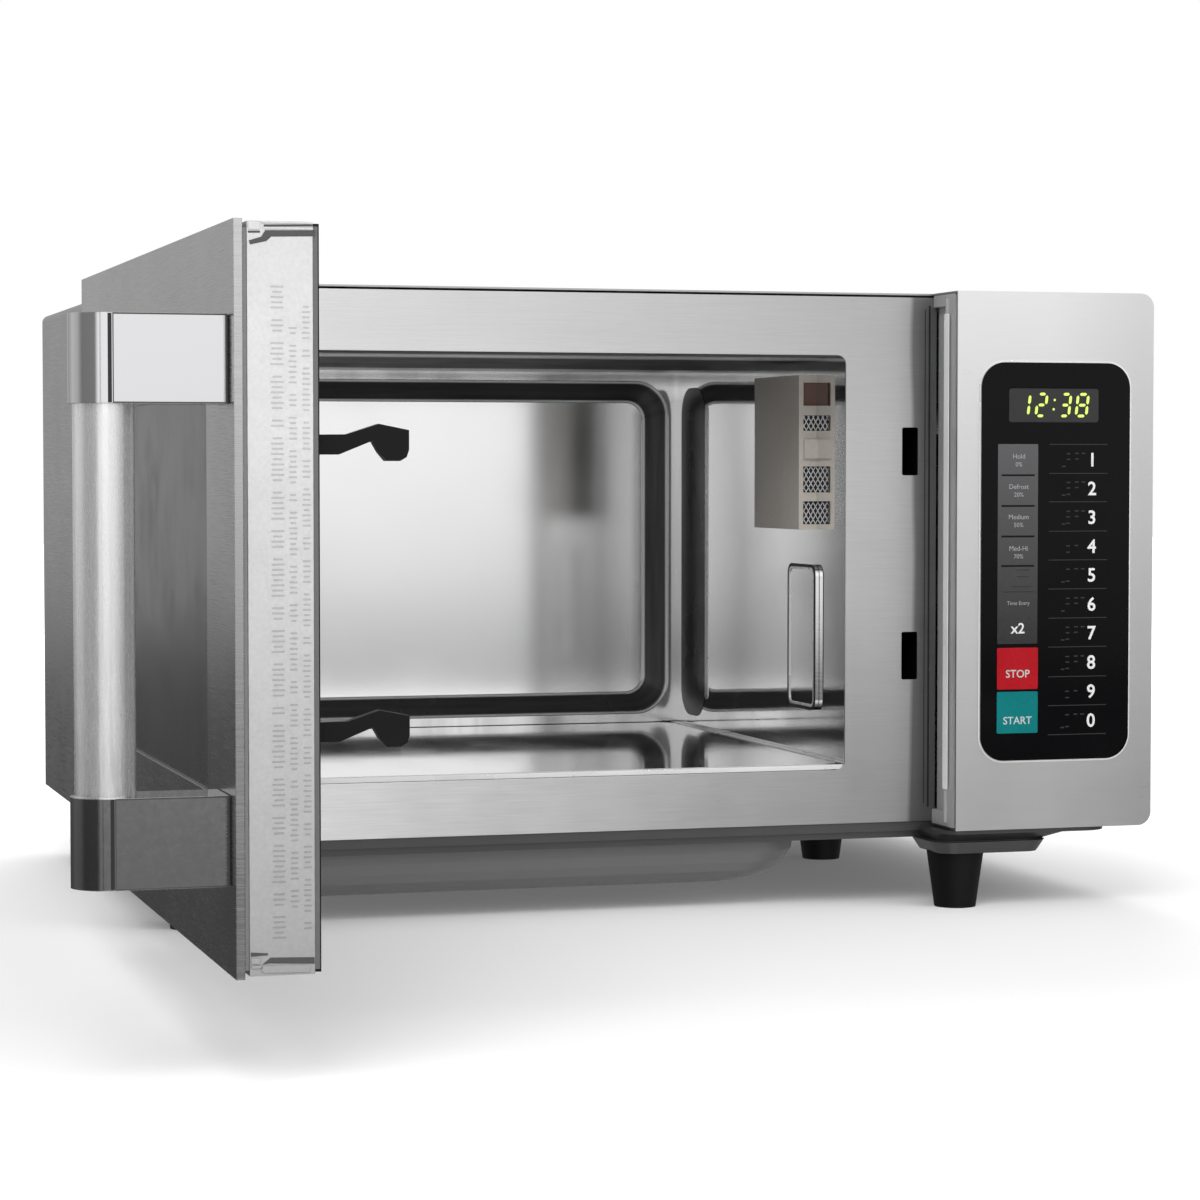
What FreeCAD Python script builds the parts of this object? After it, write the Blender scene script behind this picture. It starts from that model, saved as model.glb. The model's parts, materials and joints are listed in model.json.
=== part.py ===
"""Countertop microwave oven with a side-hinged door, stored with the door open by a right angle.

Every size is in millimetres. The oven frame has X to the right, Y to the back and Z up from the floor;
X = 0 is the middle of the casing and Y = 0 the front face of the closed door. Door pieces are modelled
as they lie when the door is closed, and their Placement swings them open about the hinge pin.
"""
import FreeCAD, Part
import Sketcher
import math
import os
import re

Vector = FreeCAD.Vector

DIMENSIONS = {
    # casing
    "half_width": 255.5, "body_height": 311, "casing_front": 33, "casing_back": 406,
    "sheet_metal": 1, "casing_bottom": 38, "bend_radius": 4, "rear_panel_front": 402,
    # base, belly and feet
    "porch_level": 38.3, "porch_top": 40.3,
    "pan_level": 34.5, "pan_floor": 35.5, "pad_level": 28.5, "belly_level": 12.5, "foot_top_radius": 14.5,
    "foot_tip_radius": 10.5, "front_right_foot_x": 158, "rear_right_foot_x": 164,
    "left_foot_x": -228,
    "front_right_foot_y": 24, "rear_right_foot_y": 236, "front_left_foot_y": 54,
    "rear_left_foot_y": 308,
    # front plate and its holes
    "plate_front": 31.8, "plate_right": 150, "plate_bottom": 42.9, "plate_top": 308.9,
    "opening_left": -229, "opening_right": 101, "opening_bottom": 70.1, "opening_top": 279.4,
    "slot_left": 131.5, "slot_right": 140.1,
    "upper_slot_bottom": 219, "lower_slot_bottom": 115.3, "slot_height": 24.2,
    # cavity
    "cavity_left": -236.5, "cavity_right": 104.8, "cavity_back": 322.5, "cavity_floor": 70,
    "cavity_top": 278.5, "recess_depth": 10, "floor_plate_thick": 3,
    "stirrer_x": -60, "stirrer_y": 195, "well_half": 110, "well_bottom": 42, "shaft_radius": 3,
    "running_gap": 0.05,
    # lamp and vent cover on the right wall
    "cover_left": 94.9, "cover_front": 84, "cover_back": 154, "cover_bottom": 190.7,
    "cover_top": 270.9, "cover_wall": 1.8,
    # control panel
    "panel_left": 148.3, "panel_bottom": 40.8, "panel_depth": 31.6, "panel_radius": 7,
    "membrane_left": 161, "membrane_right": 241.9, "membrane_bottom": 75.6,
    "membrane_top": 275.6, "membrane_radius": 12.5,
    "display_left": 175.4, "display_right": 224.7, "display_bottom": 245.5,
    "display_top": 262.8,
    # door
    "door_left": -255.5, "door_right": 146.3, "door_thick": 31, "skin_depth": 3.2,
    "window_left": -197.5, "window_right": 88.3, "window_bottom": 103, "window_top": 249,
    "pivot_x": -254, "pivot_y": 28.6, "pin_radius": 1.6, "knuckle_radius": 2.7,
    "hinge_notch_radius": 9, "upper_arm_bottom": 295, "lower_arm_bottom": 54.5,
    "arm_thick": 2.5,
    # handle
    "handle_x": 123.8, "handle_reach": 43, "bracket_radius": 12.5, "grip_radius": 11,
    "upper_bracket_bottom": 245.7, "upper_bracket_top": 277.8,
    "lower_bracket_bottom": 73, "lower_bracket_top": 105.8,
    # latch
    "hook_left": 132.4, "hook_right": 137.4, "hook_tip": 65.5, "hook_spacing": 103.5, "lever_top": 244,
    "lever_bottom": 112, "spring_top": 268,
    # right compartment
    "magnetron_y": 195, "magnetron_z": 185, "duct_left": 120, "duct_right": 148,
    "duct_front": 155, "duct_back": 235, "core_left": 148.5, "core_front": 120,
    "fan_x": 187, "fan_z": 215, "fan_radius": 50,
    "capacitor_x": 212, "capacitor_y": 300, "capacitor_radius": 20,
}

doc = FreeCAD.newDocument("microwave_oven")
sheet = doc.addObject("Spreadsheet::Sheet", "Dimensions")
for row, (alias, amount) in enumerate(DIMENSIONS.items(), start=1):
    sheet.set(f"A{row}", alias)
    sheet.set(f"B{row}", str(amount))
    sheet.setAlias(f"B{row}", alias)
doc.recompute()

NODES = []


# ---------------------------------------------------------------- values and bindings
def bound(value):
    """The expression text of a size, with each alias read from the sheet."""
    return re.sub(r"[a-z][a-z_]+", lambda word: "Dimensions." + word.group(0), str(value))


def number(value):
    """The size that an expression stands for."""
    return float(sheet.evalExpression(bound(value)))


def bind(item, **properties):
    """Binds properties of a document object to expressions of the sheet."""
    for name, value in properties.items():
        item.setExpression(name, bound(value))
    return item


def move_to(item, x=0, y=0, z=0):
    for axis, value in zip("xyz", (x, y, z)):
        item.setExpression(f".Placement.Base.{axis}", bound(value))
    return item


# ---------------------------------------------------------------- Part solids
def block(name, x, y, z):
    """A box between two ends along each axis."""
    item = doc.addObject("Part::Box", name)
    bind(item, Length=f"({x[1]}) - ({x[0]})", Width=f"({y[1]}) - ({y[0]})",
         Height=f"({z[1]}) - ({z[0]})")
    return move_to(item, x[0], y[0], z[0])


TURNS = {"z": (Vector(0, 0, 1), 0), "x": (Vector(0, 1, 0), 90), "y": (Vector(1, 0, 0), -90)}


def rod(name, radius, start, end, axis="z", at=(0, 0)):
    """A cylinder along an axis from start to end; at gives its other two coordinates in order."""
    item = doc.addObject("Part::Cylinder", name)
    bind(item, Radius=radius, Height=f"({end}) - ({start})")
    item.Placement = FreeCAD.Placement(Vector(), FreeCAD.Rotation(*TURNS[axis]))
    spot = list(at)
    spot.insert("xyz".index(axis), start)
    return move_to(item, *spot)


def tapered(name, bottom_radius, top_radius, start, end, at):
    """A cone frustum along Z."""
    item = doc.addObject("Part::Cone", name)
    bind(item, Radius1=bottom_radius, Radius2=top_radius, Height=f"({end}) - ({start})")
    return move_to(item, at[0], at[1], start)


def join(name, *items):
    item = doc.addObject("Part::MultiFuse", name)
    item.Shapes = list(items)
    return item


def group(name, *items):
    """Separate solids of one kind kept together as one sub-part."""
    item = doc.addObject("Part::Compound", name)
    item.Links = list(items)
    return item


def less(name, base, *tools):
    """The base with every tool cut away."""
    tool = tools[0] if len(tools) == 1 else join(name + "_tools", *tools)
    item = doc.addObject("Part::Cut", name)
    item.Base, item.Tool = base, tool
    return item


# ---------------------------------------------------------------- PartDesign bodies
def new_body(name):
    return doc.addObject("PartDesign::Body", name)


def new_sketch(body, plane, level=0):
    """A sketch on one of the body's origin planes, moved to a level along that plane's own axis."""
    sketch = body.newObject("Sketcher::SketchObject", f"{body.Name}_sketch")
    support = next(f for f in body.Origin.OriginFeatures if f.Role == plane)
    sketch.AttachmentSupport = [(support, "")]
    sketch.MapMode = "FlatFace"
    sign = "-" if plane == "XZ_Plane" else ""
    sketch.setExpression(".AttachmentOffset.Base.z", f"{sign}({bound(level)})")
    return sketch


def pin_point(sketch, geometry, point, x=None, y=None):
    """Ties a sketch point to expressions for its coordinates."""
    for kind, value in (("DistanceX", x), ("DistanceY", y)):
        if value is not None:
            index = sketch.addConstraint(
                Sketcher.Constraint(kind, -1, 1, geometry, point, number(value)))
            sketch.setExpression(f"Constraints[{index}]", bound(value))


def draw_polygon(sketch, points):
    corners = [Vector(number(x), number(y), 0) for x, y in points]
    first, count = sketch.GeometryCount, len(corners)
    for k in range(count):
        sketch.addGeometry(Part.LineSegment(corners[k], corners[(k + 1) % count]), False)
    for k in range(count):
        sketch.addConstraint(
            Sketcher.Constraint("Coincident", first + k, 2, first + (k + 1) % count, 1))
        pin_point(sketch, first + k, 1, *points[k])


def draw_rounded(sketch, low_x, low_y, high_x, high_y, radius):
    """A rectangle with four equal rounded corners."""
    x0, y0, x1, y1, r = map(number, (low_x, low_y, high_x, high_y, radius))
    first = sketch.GeometryCount
    sides = [((x0 + r, y0), (x1 - r, y0)), ((x1, y0 + r), (x1, y1 - r)),
             ((x1 - r, y1), (x0 + r, y1)), ((x0, y1 - r), (x0, y0 + r))]
    centres = [(x1 - r, y0 + r), (x1 - r, y1 - r), (x0 + r, y1 - r), (x0 + r, y0 + r)]
    for k, ((a, b), centre) in enumerate(zip(sides, centres)):
        sketch.addGeometry(Part.LineSegment(Vector(*a, 0), Vector(*b, 0)), False)
        turn = math.radians(90 * k - 90)
        circle = Part.Circle(Vector(*centre, 0), Vector(0, 0, 1), r)
        sketch.addGeometry(Part.ArcOfCircle(circle, turn, turn + math.pi / 2), False)
    for k in range(4):
        line, arc, after = first + 2 * k, first + 2 * k + 1, first + (2 * k + 2) % 8
        sketch.addConstraint(Sketcher.Constraint("Tangent", line, 2, arc, 1))
        sketch.addConstraint(Sketcher.Constraint("Tangent", arc, 2, after, 1))
        sketch.addConstraint(
            Sketcher.Constraint("Vertical" if k % 2 else "Horizontal", line))
        if k:
            sketch.addConstraint(Sketcher.Constraint("Equal", first + 1, arc))
    index = sketch.addConstraint(Sketcher.Constraint("Radius", first + 1, r))
    sketch.setExpression(f"Constraints[{index}]", bound(radius))
    pin_point(sketch, first, 1, y=low_y)
    pin_point(sketch, first + 2, 1, x=high_x)
    pin_point(sketch, first + 4, 1, y=high_y)
    pin_point(sketch, first + 6, 1, x=low_x)


def draw_circle(sketch, x, y, radius):
    circle = Part.Circle(Vector(number(x), number(y), 0), Vector(0, 0, 1), number(radius))
    index = sketch.addGeometry(circle, False)
    size = sketch.addConstraint(Sketcher.Constraint("Radius", index, number(radius)))
    sketch.setExpression(f"Constraints[{size}]", bound(radius))
    pin_point(sketch, index, 3, x, y)


def pad(body, sketch, length):
    """Pads a sketch along the positive direction of its plane's axis."""
    item = body.newObject("PartDesign::Pad", f"{body.Name}_pad")
    item.Profile = sketch
    item.Reversed = sketch.AttachmentSupport[0][0].Role == "XZ_Plane"
    return bind(item, Length=length)


def pocket_through(body, sketch):
    item = body.newObject("PartDesign::Pocket", f"{body.Name}_pocket")
    item.Profile = sketch
    item.Type = "ThroughAll"
    item.SideType = "Symmetric"
    return item


def repeat(body, feature, sketch, direction, length, count):
    """A row of copies of a feature along one of its sketch's axes."""
    item = body.newObject("PartDesign::LinearPattern", f"{body.Name}_row")
    item.Originals = [feature]
    item.Direction = (sketch, [direction])
    item.Occurrences = count
    bind(item, Length=length)
    body.Tip = item
    return item


def turned(name, points):
    """A body of revolution about Z; points are (radius, height) pairs."""
    body = new_body(name)
    sketch = new_sketch(body, "XZ_Plane")
    draw_polygon(sketch, points)
    item = body.newObject("PartDesign::Revolution", f"{name}_turn")
    item.Profile = sketch
    item.ReferenceAxis = (sketch, ["V_Axis"])
    item.Angle = 360
    return body


def plate_with_holes(name, plane, level, thick, outline, holes):
    """A flat rounded plate with rounded holes; outlines are (low, low, high, high, radius)."""
    body = new_body(name)
    sketch = new_sketch(body, plane, level)
    draw_rounded(sketch, *outline)
    pad(body, sketch, thick)
    if holes:
        cutter = new_sketch(body, plane, level)
        for hole in holes:
            draw_rounded(cutter, *hole)
        pocket_through(body, cutter)
    return body


# ---------------------------------------------------------------- pressed sheet shapes
def rounded_wire(low_u, low_v, high_u, high_v, radius, place):
    """A closed outline with rounded corners; place(u, v) puts each point in space."""
    corners = [(high_u - radius, low_v + radius, -90), (high_u - radius, high_v - radius, 0),
               (low_u + radius, high_v - radius, 90), (low_u + radius, low_v + radius, 180)]
    arcs = []
    for u, v, turn in corners:
        at = [place(u + radius * math.cos(math.radians(turn + step)),
                    v + radius * math.sin(math.radians(turn + step))) for step in (0, 45, 90)]
        arcs.append(Part.Arc(*at).toShape())
    edges = []
    for arc, after in zip(arcs, arcs[1:] + arcs[:1]):
        edges += [arc, Part.makeLine(arc.Vertexes[-1].Point, after.Vertexes[0].Point)]
    return Part.Wire(edges)


def drawn_solid(outer, inner, near, far, place):
    """The solid between a larger outline at one level and a smaller one at another."""
    wires = [rounded_wire(*outline, lambda u, v, at=at: place(u, v, at))
             for outline, at in ((outer, near), (inner, far))]
    return Part.makeLoft(wires, True, True)


def bowl(mouth, inset, top, bottom, place):
    """A solid dish whose sides curve in from its mouth to a flat bottom, in short ruled bands."""
    low_u, low_v, high_u, high_v, radius = mouth
    wires = []
    for angle in range(0, 91, 15):
        share = 1 - math.cos(math.radians(angle))
        level = top - (top - bottom) * math.sin(math.radians(angle))
        outline = (low_u + inset[0] * share, low_v + inset[1] * share,
                   high_u - inset[2] * share, high_v - inset[3] * share, radius)
        wires.append(rounded_wire(*outline, lambda u, v, at=level: place(u, v, at)))
    return Part.makeLoft(wires, True, True)


def grown(outline, amount):
    low_u, low_v, high_u, high_v, radius = outline
    return (low_u - amount, low_v - amount, high_u + amount, high_v + amount,
            radius + amount)


def pressing(plate, mouth, seat, near, far, place):
    """A sheet with a drawn recess: a flat plate, a hollow pan behind it, open at the mouth."""
    sheet_metal = number("sheet_metal")
    step = sheet_metal if far > near else -sheet_metal
    pan = drawn_solid(grown(mouth, sheet_metal), grown(seat, sheet_metal), near, far + step, place)
    hollow = drawn_solid(mouth, seat, near, far, place)
    return plate.fuse(pan).cut(hollow).removeSplitter()


def shape_node(name, shape):
    item = doc.addObject("Part::Feature", name)
    item.Shape = shape
    return item


def outline_of(*values):
    return tuple(number(value) for value in values)


# ---------------------------------------------------------------- registering sub-parts
middle_x = (number("half_width") + number("pivot_x - pivot_y - handle_reach - bracket_radius")) / 2
middle_y = (number("casing_back") + number("pivot_y - (door_right - pivot_x)")) / 2
TO_ORIGIN = FreeCAD.Placement(Vector(-middle_x, -middle_y, 0), FreeCAD.Rotation())
PIVOT = Vector(number("pivot_x"), number("pivot_y"), 0)
SWING = FreeCAD.Placement(Vector(), FreeCAD.Rotation(Vector(0, 0, 1), -90), PIVOT)


def keep(item, on_door=False):
    """Registers a finished sub-part and moves it from its modelled place to the row frame."""
    item.Label = item.Name
    item.recompute()
    moved = TO_ORIGIN * SWING if on_door else TO_ORIGIN
    own = FreeCAD.Placement(item.Placement)
    for axis in "xyz":
        item.setExpression(f".Placement.Base.{axis}", None)
    item.Placement = moved * own
    NODES.append(item)
    return item


# ================================================================ oven body
def casing():
    """A wrap of sheet metal over the top and both sides, with louvres in the right side."""
    body = new_body("outer_casing")
    sketch = new_sketch(body, "XZ_Plane", "casing_front")
    draw_rounded(sketch, "-half_width", "casing_bottom - 20", "half_width", "body_height",
                 "bend_radius")
    draw_rounded(sketch, "sheet_metal - half_width", "casing_bottom - 19",
                 "half_width - sheet_metal", "body_height - sheet_metal",
                 "bend_radius - sheet_metal")
    pad(body, sketch, "casing_back - casing_front")
    below = new_sketch(body, "XZ_Plane", "casing_front")
    draw_polygon(below, [("-half_width - 5", "0"), ("half_width + 5", "0"),
                         ("half_width + 5", "casing_bottom"),
                         ("-half_width - 5", "casing_bottom")])
    pocket_through(body, below)
    louvre = new_sketch(body, "YZ_Plane", "half_width + 1")
    draw_rounded(louvre, "330", "78", "385", "82", "1.9")
    cut = body.newObject("PartDesign::Pocket", "louvre_cut")
    cut.Profile = louvre
    cut.setExpression("Length", bound("sheet_metal + 3"))
    repeat(body, cut, louvre, "V_Axis", "168", 15)
    keep(body)


def rear_panel():
    """The back sheet with rows of air slots and the hole for the cord inlet."""
    body = plate_with_holes(
        "rear_panel", "XZ_Plane", "rear_panel_front", "sheet_metal",
        ("sheet_metal - half_width", "casing_bottom", "half_width - sheet_metal",
         "body_height - sheet_metal", "bend_radius - sheet_metal"), [])
    inlet = new_sketch(body, "XZ_Plane", "rear_panel_front")
    draw_circle(inlet, "200", "70", "8")
    pocket_through(body, inlet)
    for left, low in (("fan_x - 42", "fan_z - 36"), ("-190", "180")):
        slot = new_sketch(body, "XZ_Plane", "rear_panel_front")
        draw_rounded(slot, left, low, f"{left} + 5", f"{low} + 72", "2.4")
        repeat(body, pocket_through(body, slot), slot, "H_Axis", "81", 10)
    keep(body)
    gland = turned("cord_inlet_gland", [("4", "-3"), ("10", "-3"), ("10", "0"), ("8", "0"),
                                        ("8", "1"), ("13", "1"), ("13", "3.5"), ("4", "3.5")])
    gland.Placement = FreeCAD.Placement(Vector(200, number("rear_panel_front"), 70),
                                        FreeCAD.Rotation(*TURNS["y"]))
    keep(gland)


FEET = {"front_right": ("front_right_foot_x", "front_right_foot_y"),
        "rear_right": ("rear_right_foot_x", "rear_right_foot_y"),
        "front_left": ("left_foot_x", "front_left_foot_y"),
        "rear_left": ("left_foot_x", "rear_left_foot_y")}
LAMP_AT = ("104", "248")           # where the lamp passes through the right wall, Y and Z
BELLY_MOUTH = (-206, 42, 84, 398, 24)
BELLY_INSET = (20, 15, 32, 15)     # left, front, right and back, from the mouth to the flat bottom


def base():
    """The bottom tray with a plinth and foot pads, and the drawn belly that hangs below it."""
    outer = block("tray_outer", ("sheet_metal - half_width", "half_width - sheet_metal"),
                  ("casing_front + 0.2", "rear_panel_front"), ("casing_bottom", "50"))
    inner = block("tray_inner", ("2 * sheet_metal - half_width", "half_width - 2 * sheet_metal"),
                  ("casing_front + 1.2", "rear_panel_front - 1"), ("casing_bottom + 1", "51"))
    plinth = plate_with_holes("plinth", "XY_Plane", "pan_level", "casing_bottom - pan_level",
                              ("-250", "36", "236", "400", "14"), [])
    plinth_air = block("plinth_air", ("-249", "235"), ("37", "399"),
                       ("pan_level + sheet_metal", "40"))

    def place(u, v, level):
        return Vector(u, v, level)

    pan_level, pad_level = number("pan_level"), number("pad_level")
    porch = plate_with_holes("porch", "XY_Plane", "porch_level", "porch_top - porch_level",
                             ("142", "5", "236", "60", "14"), [])
    step = shape_node("porch_step", drawn_solid(
        (143, 6, 218, 60, 14), (144, 8, 202, 60, 12), number("porch_level"), pan_level, place))
    pads = []
    for name, (x, y) in FEET.items():
        inward, outward = (14, 40) if "right" in name else (16, 16)
        at_x, at_y = number(x), number(y)
        foot_of_pad = (at_x - inward, at_y - 17, at_x + outward, at_y + 20, 8)
        pads.append(shape_node(f"pad_{name}", drawn_solid(
            grown(foot_of_pad, 4), foot_of_pad, pan_level, pad_level, place)))
    hole = plate_with_holes("belly_hole", "XY_Plane", "pad_level", "20",
                            ("-202", "46", "80", "394", "20"), [])
    keep(less("base_pan", join("tray_and_pads", outer, plinth, porch, step, *pads), inner,
              plinth_air, hole))
    top, bottom = number("pan_level"), number("belly_level")
    shell = bowl(BELLY_MOUTH, BELLY_INSET, top, bottom, place)
    hollow = bowl(grown(BELLY_MOUTH, -1), BELLY_INSET, top, bottom + 1, place)
    keep(shape_node("belly_cover", shell.cut(hollow)))
    feet, screws = [], []
    for name, (x, y) in FEET.items():
        foot = tapered(f"foot_{name}", "foot_tip_radius", "foot_top_radius", "0", "pad_level",
                       (x, y))
        bore = rod(f"foot_bore_{name}", "2.5", "6", "pad_level", at=(x, y))
        feet.append(less(f"bored_foot_{name}", foot, bore))
        screws.append(rod(f"foot_screw_{name}", "2.5", "6", "pad_level", at=(x, y)))
    keep(group("feet", *feet))
    keep(group("foot_screws", *screws))


def front_plate():
    """A plate of butted sheet strips that leave the cavity opening and two latch slots between them."""
    depth = ("plate_front", "plate_front + sheet_metal")
    hinges = [block(f"hinge_slot_{low}", ("pivot_x + 0.8", "pivot_x + 8.2"),
                    ("plate_front - 1", "plate_front + 2"), (f"{low} - 0.2", f"{low} + arm_thick + 0.2"))
              for low in ("upper_arm_bottom", "lower_arm_bottom")]
    stile = block("plate_stile", ("-half_width", "opening_left"), depth, ("plate_bottom", "plate_top"))
    across, upright = ("opening_left", "plate_right"), ("opening_bottom", "opening_top")
    slot = ("slot_left", "slot_right")
    lower_slot_top, upper_slot_top = (f"{low} + slot_height"
                                      for low in ("lower_slot_bottom", "upper_slot_bottom"))
    strips = [block("plate_top_rail", across, depth, ("opening_top", "plate_top")),
              block("plate_bottom_rail", across, depth, ("plate_bottom", "opening_bottom")),
              block("plate_inner_strip", ("opening_right", "slot_left"), depth, upright),
              block("plate_outer_strip", ("slot_right", "plate_right"), depth, upright),
              block("plate_low_bridge", slot, depth, ("opening_bottom", "lower_slot_bottom")),
              block("plate_middle_bridge", slot, depth, (lower_slot_top, "upper_slot_bottom")),
              block("plate_high_bridge", slot, depth, (upper_slot_top, "opening_top"))]
    keep(group("front_plate", less("plate_hinge_stile", stile, *hinges), *strips))


def cavity():
    """The walls round the cooking space, with a drawn recess in the back one."""
    left, right = number("cavity_left"), number("cavity_right")
    front, back = number("plate_front + sheet_metal"), number("cavity_back")
    low, high = number("cavity_floor"), number("cavity_top")
    depth, metal = number("recess_depth"), number("sheet_metal")
    wall_box = ("plate_front + sheet_metal", "cavity_back"), ("cavity_floor", "cavity_top")
    side = block("side_wall", ("cavity_right", "cavity_right + sheet_metal"), *wall_box)
    across = ("cavity_right - 1", "cavity_right + 2")
    vent_port = block("vent_port", across, ("118", "142"), ("198", "258"))
    lamp_port = rod("lamp_port", "7.2", *across, "x", LAMP_AT)
    air_port = block("air_port", across, ("88", "112"), ("108", "160"))
    keep(less("cavity_right_wall", side, vent_port, lamp_port, air_port))
    keep(block("cavity_left_wall", ("cavity_left - sheet_metal", "cavity_left"), *wall_box))
    plate = Part.makeBox(right - left + 2 * metal, metal, high - low,
                         Vector(left - metal, back, low))
    keep(shape_node("cavity_back_wall", pressing(
        plate, (left + 4.7, 78, right - 4.7, 273.5, 20), (left + 18.4, 90.7, right - 18.4, 260.8, 10),
        back, back + depth, lambda u, v, at: Vector(u, at, v))))
    keep(block("cavity_ceiling", ("cavity_left - sheet_metal", "cavity_right + sheet_metal"),
               ("plate_front + sheet_metal", "cavity_back + sheet_metal"),
               ("cavity_top", "cavity_top + sheet_metal")))
    plate = Part.makeBox(right - left + 2 * metal, back + metal - front, metal,
                         Vector(left - metal, front, low - metal))
    well = outline_of("stirrer_x - well_half", "stirrer_y - well_half", "stirrer_x + well_half",
                      "stirrer_y + well_half", "24")
    pan = pressing(plate, well, grown(well, -4), low, number("well_bottom"), Vector)
    feed = Part.makeBox(12, 74, 20, Vector(number("stirrer_x + well_half") - 6, 158, 46))
    shaft = Part.makeCylinder(number("shaft_radius + running_gap"), 20,
                              Vector(number("stirrer_x"), number("stirrer_y"), 30))
    keep(shape_node("cavity_floor_pan", pan.cut(feed).cut(shaft)))
    keep(plate_with_holes("cavity_floor_plate", "XY_Plane", "cavity_floor", "floor_plate_thick",
                          ("cavity_left + 4", "plate_front + 4", "cavity_right - 4",
                           "cavity_back - 4", "10"), []))


def lamp_cover():
    """The vented box on the right wall, with its clip, mesh, lamp and the feed cover below."""
    shell = block("cover_outer", ("cover_left", "cavity_right - 0.2"),
                  ("cover_front", "cover_back"), ("cover_bottom", "cover_top"))
    inside = block("cover_inside", ("cover_left + cover_wall", "cavity_right + 1"),
                   ("cover_front + cover_wall", "cover_back - cover_wall"),
                   ("cover_bottom + cover_wall", "cover_top - cover_wall"))
    windows = [block(f"cover_window_{low}", ("97.3", "cavity_right + 1"),
                     ("cover_front - 1", "cover_front + cover_wall + 1"), (low, high))
               for low, high in (("255", "267"), ("242", "250"), ("210", "223.5"),
                                 ("193.5", "205.4"))]
    keep(less("lamp_vent_cover", shell, inside, *windows))
    keep(block("lamp_cover_clip", ("97.2", "cavity_right - 0.2"),
               ("cover_front - 2", "cover_front"), ("227.7", "237.6")))
    keep(block("vent_mesh", ("96.9", "cavity_right - 0.2"), ("86.2", "86.8"), ("193", "253")))
    outside = "cavity_right + sheet_metal"
    keep(join("cavity_lamp", rod("bulb_tube", "4.5", "97.5", "cavity_right - 1", "x", LAMP_AT),
              rod("lamp_socket", "7", "cavity_right - 1", "cavity_right + 10", "x", LAMP_AT),
              rod("lamp_flange", "10", outside, f"{outside} + 2", "x", LAMP_AT)))
    keep(plate_with_holes("waveguide_feed_cover", "YZ_Plane", "cavity_right - 2", "1.8",
                          ("80", "96.5", "121.6", "172.5", "6"), []))


def control_panel():
    """The steel fascia, its housing, the membrane keypad, the display and the boards behind."""
    body = new_body("control_fascia")
    sketch = new_sketch(body, "XZ_Plane")
    draw_rounded(sketch, "panel_left - 10", "panel_bottom", "half_width - 0.1", "body_height",
                 "panel_radius")
    pad(body, sketch, "panel_depth")
    hollow = new_sketch(body, "XZ_Plane", "sheet_metal")
    draw_rounded(hollow, "panel_left - 20", "panel_bottom + sheet_metal",
                 "half_width - 0.1 - sheet_metal", "body_height - sheet_metal",
                 "panel_radius - sheet_metal")
    cut = body.newObject("PartDesign::Pocket", "fascia_hollow")
    cut.Profile = hollow
    cut.Type = "ThroughAll"
    trim = new_sketch(body, "XZ_Plane")
    draw_polygon(trim, [("panel_left - 30", "panel_bottom - 5"), ("panel_left", "panel_bottom - 5"),
                        ("panel_left", "body_height + 5"), ("panel_left - 30", "body_height + 5")])
    draw_rounded(trim, "membrane_left + 3", "membrane_bottom + 3", "membrane_right - 3",
                 "membrane_top - 3", "membrane_radius - 3")
    pocket_through(body, trim)
    keep(body)

    square = block("housing_square", ("panel_left", "panel_left + 50"),
                   ("3.3", "panel_depth"), ("panel_bottom + 1.2", "body_height - 1.2"))
    rounded = plate_with_holes(
        "housing_rounded", "XZ_Plane", "3.3", "panel_depth - 3.3",
        ("panel_left + 20", "panel_bottom + 1.2", "half_width - 1.3", "body_height - 1.2",
         "panel_radius - 1.2"), [])
    inside = block("housing_inside", ("panel_left + 4", "half_width - 4.2"),
                   ("3", "panel_depth - 1.2"), ("panel_bottom + 3.6", "body_height - 3.6"))
    channel = block("housing_channel", ("panel_left - 1", "panel_left + 2.8"),
                    ("16", "panel_depth + 1"), ("49", "304"))
    bead = rod("housing_bead", "1.8", "44", "308", at=("panel_left + 0.9", "13.8"))
    keep(less("control_housing", join("housing_with_bead", square, rounded, bead), inside, channel))
    ring = block("seal_outer", ("panel_left + 0.8", "half_width - 3.1"), ("1", "3.3"),
                 ("panel_bottom + 3", "body_height - 3"))
    gap = block("seal_inner", ("panel_left + 3.2", "half_width - 5.6"), ("0", "4"),
                ("panel_bottom + 5.6", "body_height - 5.6"))
    keep(less("fascia_seal", ring, gap))

    film = plate_with_holes("control_membrane", "XZ_Plane", "-1.2", "1.2",
                            ("membrane_left", "membrane_bottom", "membrane_right",
                             "membrane_top", "membrane_radius"),
                            [("display_left", "display_bottom", "display_right", "display_top",
                              "1.5")])
    keep(film)
    keep(plate_with_holes("display_lens", "XZ_Plane", "-0.7", "0.7",
                          ("display_left", "display_bottom", "display_right", "display_top",
                           "1.5"), []))
    keep(join("control_board",
              block("board_base", ("membrane_left + 5", "membrane_right - 4"), ("11", "12.6"),
                    ("membrane_bottom + 15", "membrane_top - 2")),
              block("display_module", ("display_left - 3", "display_right + 3"), ("1.2", "11"),
                    ("display_bottom - 4", "display_top + 4")),
              block("board_relay", ("172", "190"), ("12.6", "28"), ("200", "222")),
              block("board_transformer", ("196", "228"), ("12.6", "29"), ("150", "182")),
              rod("board_buzzer", "7", "12.6", "20", "y", ("180", "170")),
              block("board_connector", ("176", "230"), ("12.6", "22"), ("100", "108"))))


def latch_bracket():
    """The moulding behind the front plate that takes both hooks, and its three switches."""
    outer = block("bracket_outer", ("124", "147"), ("33", "72"), ("108", "250"))
    channel = block("bracket_channel", ("130", "142"), ("32", "70"), ("112.5", "246"))
    keep(less("latch_bracket", outer, channel))
    switches = [block(f"switch_{low}", ("147.2", "157.2"), ("40", "68"), (low, f"{low} + 16"))
                for low in ("118", "170", "224")]
    keep(group("interlock_switches", *switches))


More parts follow.
